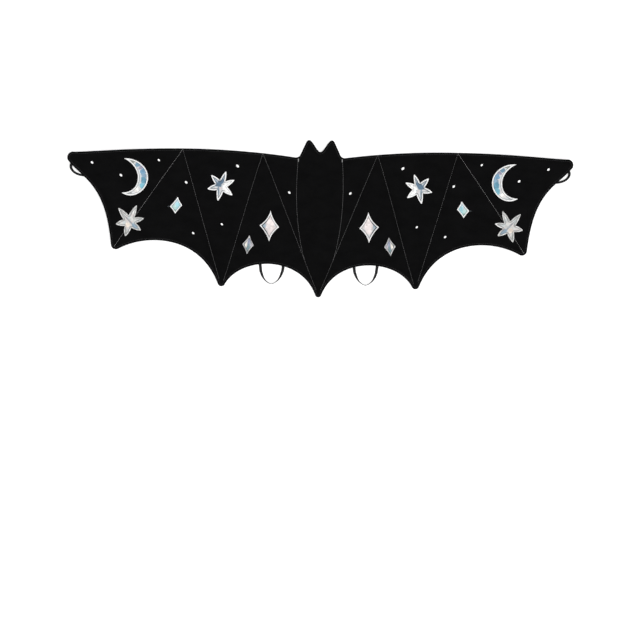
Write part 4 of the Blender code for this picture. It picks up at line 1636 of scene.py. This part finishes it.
@dataclass
class ElasticLoop:
    """A flat woven elastic along its route, sewn under the back panel at both ends."""

    name: str
    route: tuple[Stop, ...]
    side: Side
    quilting: Quilting
    width: float = 6.0
    thickness: float = 1.0
    cords: int = 8
    step: float = 1.6

    def smooth_route(self) -> Array:
        """Points on the smooth curve through the stops: a Catmull-Rom curve of place, stand and sewn."""
        rows = np.array(self.route, float)
        rows = np.vstack([2 * rows[0] - rows[1], rows, 2 * rows[-1] - rows[-2]])
        t = np.linspace(0.0, 1.0, 12, endpoint=False)[:, None]
        a, b, c, d = (part[:, None] for part in (rows[:-3], rows[1:-2], rows[2:-1], rows[3:]))
        curve = 0.5 * (2 * b + (c - a) * t + (2 * a - 5 * b + 4 * c - d) * t ** 2
                       + (3 * b - a - 3 * c + d) * t ** 3)
        return resample(np.vstack([curve.reshape(-1, 4), rows[-2:-1]]), self.step)

    def profile(self) -> Array:
        """The band's cross section: a flat oval with lengthwise cords.

        Half its thickness is 0.43 of the thickness between two cords and 0.5
        on a cord, drawn to nothing at the rims by a quarter round.
        """
        u = np.linspace(-1.0, 1.0, 4 * self.cords + 1)
        cords = 0.43 + 0.07 * np.abs(np.cos(0.5 * math.pi * self.cords * (u + 1.0)))
        half = self.thickness * cords * quarter_round((1.0 - np.abs(u)) / 0.12)
        across = 0.5 * self.width * u
        upper, lower = np.column_stack([across, half]), np.column_stack([across, -half])
        return np.vstack([upper, lower[-2:0:-1]])

    def build(self) -> None:
        """Carry the cross section along the route, turned up on edge by the stand angle."""
        x, y, stand, sewn = self.smooth_route().T
        stand = np.radians(np.clip(stand, 0.0, 90.0))
        sewn = np.clip(sewn, 0.0, 1.0)
        plan = np.column_stack([x * self.side.value, y])
        resting = 0.5 * (self.width - self.thickness) * np.sin(stand) + 0.5 * self.thickness
        cloth = np.minimum(self.quilting.surface(Face.BACK, plan), self.quilting.lay(plan))
        against = cloth - 0.1 - 0.5 * self.thickness
        z = np.maximum(resting + (against - resting) * sewn, 0.5 * self.thickness)
        spine = np.column_stack([plan, z])
        ahead = np.gradient(spine, axis=0)
        ahead /= np.linalg.norm(ahead, axis=1)[:, None]
        level = np.cross(ahead, [0.0, 0.0, 1.0])
        level /= np.linalg.norm(level, axis=1)[:, None]
        above = np.cross(level, ahead)
        turn = (stand * self.side.value)[:, None]
        across = level * np.cos(turn) + above * np.sin(turn)
        off = above * np.cos(turn) - level * np.sin(turn)
        profile = self.profile()
        count = len(profile)
        points = (spine[:, None] + profile[None, :, :1] * across[:, None]
                  + profile[None, :, 1:] * off[:, None]).reshape(-1, 3)
        run = np.broadcast_to(run_of(plan)[:, None], (len(spine), count))
        uv = np.stack([run, np.broadcast_to(profile[None, :, 0], run.shape)], axis=2).reshape(-1, 2)
        first, last = np.arange(count)[None], np.arange(len(points) - count, len(points))[None]
        faces = [grid_faces(len(spine), count, wrap=True), first[:, ::-1], last]
        node = f"{self.side.label}_{self.name}"
        add_piece(f"{node}_elastic", Form(points, faces, uv), Elastic("black woven elastic"),
                  stands_for=node)
        self.sew(node, spine, across)

    def sew(self, node: str, spine: Array, across: Array) -> None:
        """Lock both ends with a dense zigzag of thread over the band.

        Args:
            node: the loop's name.
            spine: the band's middle line.
            across: unit directions across the band at each place of the line.
        """
        run = run_of(spine)
        starts = np.array([1.5, run[-1] - 5.5])
        stations = (starts[:, None] + 0.45 * np.arange(10)).ravel()
        middle = np.column_stack([np.interp(stations, run, part) for part in spine.T])
        wide = np.column_stack([np.interp(stations, run, part) for part in across.T])
        share = np.array([-0.5, -0.44, 0.0, 0.44, 0.5]) * (self.width - 0.6)
        arch = np.array([-0.3, 0.12, 0.16, 0.12, -0.3])
        paths = middle[:, None] + share[:, None] * wide[:, None]
        paths[..., 2] = np.maximum(paths[..., 2] - 0.5 * self.thickness - arch, 0.2)
        add_piece(f"{node}_bar_tacks", strands(paths, 0.2, 5), BLACK_THREAD)


# Assembly


@dataclass
class SewnShapes:
    """All the shapes and dots of both wings."""

    quilting: Quilting
    tip_round: float = 2.0
    arm_round: float = 3.0
    waist_round: float = 0.6
    step: float = 0.9

    def drawn_in(self, outline: Array, depth: float) -> Array:
        """An outline moved inwards, without the points that a narrow tip would let cross over."""
        line = resample(closed(outline), 0.4)[:-1]
        moved = line + depth * inward(closed(line))[:-1]
        moved = moved[nearest_on(moved, closed(line))[0] > 0.97 * depth]
        return resample(closed(moved), self.step)[:-1]

    def bowed(self, points: list, bows: Array, rounds: list[float]) -> tuple[Corner, ...]:
        """Corners of a polygon whose sides bow outwards, or inwards where a bow is negative.

        Args:
            points: the corners, anticlockwise.
            bows: how far the middle of each side stands off the straight line.
            rounds: how much of each corner is rounded off.

        Returns:
            The corner rows.
        """
        corners = []
        for k, (point, bow, rounding) in enumerate(zip(points, bows, rounds)):
            side = np.array(points[(k + 1) % len(points)]) - point
            outward = np.array([side[1], -side[0]]) / np.hypot(*side) * bow * 4.0 / 3.0
            corners.append(Corner(*point, rounding, tuple(side / 3.0 + outward), tuple(outward - side / 3.0)))
        return tuple(corners)

    def star(self, x: float, y: float, waist: float, bulge: float, arms: tuple) -> Array:
        """A star's outline: each arm's tip, then the waist after it, joined by bowed sides."""
        points, rounds = [], []
        for (angle, length), (following, _) in zip(arms, arms[1:] + arms[:1]):
            between = 0.5 * (angle + following + (360.0 if following < angle else 0.0))
            for direction, reach, rounding in ((angle, length, self.arm_round),
                                               (between, waist, self.waist_round)):
                turn = math.radians(direction)
                points.append((x + reach * math.cos(turn), y + reach * math.sin(turn)))
                rounds.append(rounding)
        return shape_outline(self.bowed(points, np.full(len(points), bulge), rounds), self.step)

    def diamond(self, hollows: tuple[float, ...], *points: tuple[float, float]) -> Array:
        """A diamond's outline with hollow sides, anticlockwise from the top."""
        return shape_outline(self.bowed(list(points), -np.array(hollows), [self.tip_round] * 4), self.step)

    def moon(self) -> tuple[Array, tuple[tuple[float, float], tuple[float, float]]]:
        """The crescent's outline, open towards the wing tip, and the tips of its two horns."""
        corners = (
            Corner(409.6, 119.4, 2.4, (-26.0, 4.0), (0.0, 25.0)),
            Corner(356.8, 80.0, 0.0, (0.0, -28.0), (-24.0, -18.0)),
            Corner(413.2, 48.6, 2.4, (-24.0, 0.2), (0.0, -17.5)),
            Corner(378.9, 80.0, 0.0, (0.0, 16.5), (-17.0, -6.5)),
        )
        return shape_outline(corners, self.step), (corners[0][:2], corners[2][:2])

    def shapes(self) -> list[Shape]:
        """Every shape of the right wing with its own cloth and border."""
        outer_star = self.star(394.4, -11.9, 13.8, 1.6, (
            (50.5, 38.4), (113.0, 38.9), (166.0, 32.4), (217.0, 31.2), (285.0, 33.4), (349.0, 30.2)))
        inner_star = self.star(205.3, 65.4, 13.0, 1.3, (
            (47.0, 32.2), (108.0, 33.6), (155.0, 31.8), (219.0, 32.0), (282.0, 33.2), (347.0, 30.6)))
        large = self.diamond((2.8, 3.8, 2.6, 3.9),
                             (101.6, 17.4), (82.4, -18.6), (103.7, -50.2), (125.0, -15.2))
        lower = self.diamond((1.1,) * 4, (144.6, -34.9), (134.8, -56.9), (149.6, -76.6), (160.1, -54.6))
        upper = self.diamond((0.8,) * 4, (295.2, 41.9), (285.2, 24.0), (299.9, 5.7), (311.6, 21.3))
        moon, tips = self.moon()
        return [
            Shape("moon", self.drawn_in(moon, 0.5), MOON_CLOTH, WHITE_SATIN, tips=tips),
            Shape("outer_star", self.drawn_in(outer_star, 0.45), OUTER_STAR_CLOTH, SILVER_SATIN, 2.3),
            Shape("inner_star", self.drawn_in(inner_star, 0.35), INNER_STAR_CLOTH, WHITE_SATIN),
            Shape("large_diamond", self.drawn_in(large, 0.5), LARGE_DIAMOND_CLOTH, WHITE_SATIN, 2.0),
            Shape("lower_diamond", self.drawn_in(lower, 0.4), LOWER_DIAMOND_CLOTH, DULL_SATIN, 1.9),
            Shape("upper_diamond", self.drawn_in(upper, 0.1), UPPER_DIAMOND_CLOTH, WHITE_SATIN, 2.2),
        ]

    def build(self, shapes: list[Shape]) -> None:
        """Sew every shape and dot on both wings."""
        for shape in shapes:
            for side in Side:
                SewnShape(shape, side, self.quilting).build()
        for side in Side:
            ThreadTail(side, self.quilting).build()
        for number, dot in enumerate(DOTS, start=1):
            for side in Side:
                EmbroideredDot(number, dot, side, self.quilting).build()


@dataclass
class Studio:
    """A white floor, even light and a camera straight above, turned as the photograph is."""

    pixel: float = 2.08
    long_side: int = 642
    lens: float = 190.0
    turn: float = 0.9
    centre_x: float = 4.6
    centre_y: float = -212.1
    floor_reach: float = 9.0
    floor_depth: float = 0.0004
    world_light: float = 1.0
    sun_light: float = 1.0

    def build(self) -> None:
        """Put up the floor, the lights and the camera."""
        scene = bpy.context.scene
        scene.view_settings.view_transform = "Standard"
        reach = self.floor_reach
        mesh = bpy.data.meshes.new("floor")
        mesh.from_pydata([(-reach, -reach, -self.floor_depth), (reach, -reach, -self.floor_depth),
                          (reach, reach, -self.floor_depth), (-reach, reach, -self.floor_depth)],
                         [], [(0, 1, 2, 3)])
        mesh.materials.append(Floor().make())
        floor = bpy.data.objects.new("floor", mesh)
        scene.collection.objects.link(floor)
        world = bpy.data.worlds.new("even white light")
        scene.world = world
        world.use_nodes = True
        background = world.node_tree.nodes["Background"]
        background.inputs["Color"].default_value = (1.0, 1.0, 1.0, 1.0)
        background.inputs["Strength"].default_value = self.world_light
        for name, energy, angles in (("key", self.sun_light, (38.0, 12.0, 25.0)),
                                     ("fill", 0.35 * self.sun_light, (30.0, -32.0, 200.0))):
            light = bpy.data.lights.new(name, "SUN")
            light.energy = energy
            light.angle = math.radians(50.0)
            lamp = bpy.data.objects.new(name, light)
            lamp.rotation_euler = [math.radians(angle) for angle in angles]
            scene.collection.objects.link(lamp)
        view = bpy.data.cameras.new("camera")
        view.lens = self.lens
        view.sensor_width = 36.0
        camera = bpy.data.objects.new("camera", view)
        height = self.lens / view.sensor_width * self.long_side * self.pixel * MM
        camera.location = (self.centre_x * MM, self.centre_y * MM, height)
        camera.rotation_euler = (0.0, 0.0, math.radians(self.turn))
        view.clip_end = 100.0
        scene.collection.objects.link(camera)
        scene.camera = camera


def main() -> None:
    """Build the wings from the cloth outwards and log the cloth grid's size."""
    logging.basicConfig(level=logging.INFO, format="%(relativeCreated)6d ms %(message)s")
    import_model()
    quilting = Quilting()
    Studio().build()
    grid = ClothGrid(quilting)
    LOG.info("cloth grid of %d columns and %d rows", *grid.outer.shape[:2])
    sewn_shapes = SewnShapes(quilting)
    shapes = sewn_shapes.shapes()
    blown = BlownVelvet(quilting, [shape.outline for shape in shapes])
    for face in Face:
        ClothPanel(face, quilting, grid, blown if face is Face.FRONT else None).build()
        Topstitching(face, quilting).build()
    BarTacks(quilting).build()
    sewn_shapes.build(shapes)
    for side in Side:
        ElasticLoop("wrist_loop", WRIST_ROUTE, side, quilting).build()
        ElasticLoop("arm_loop", ARM_ROUTE, side, quilting).build()


if __name__ == "__main__":
    main()
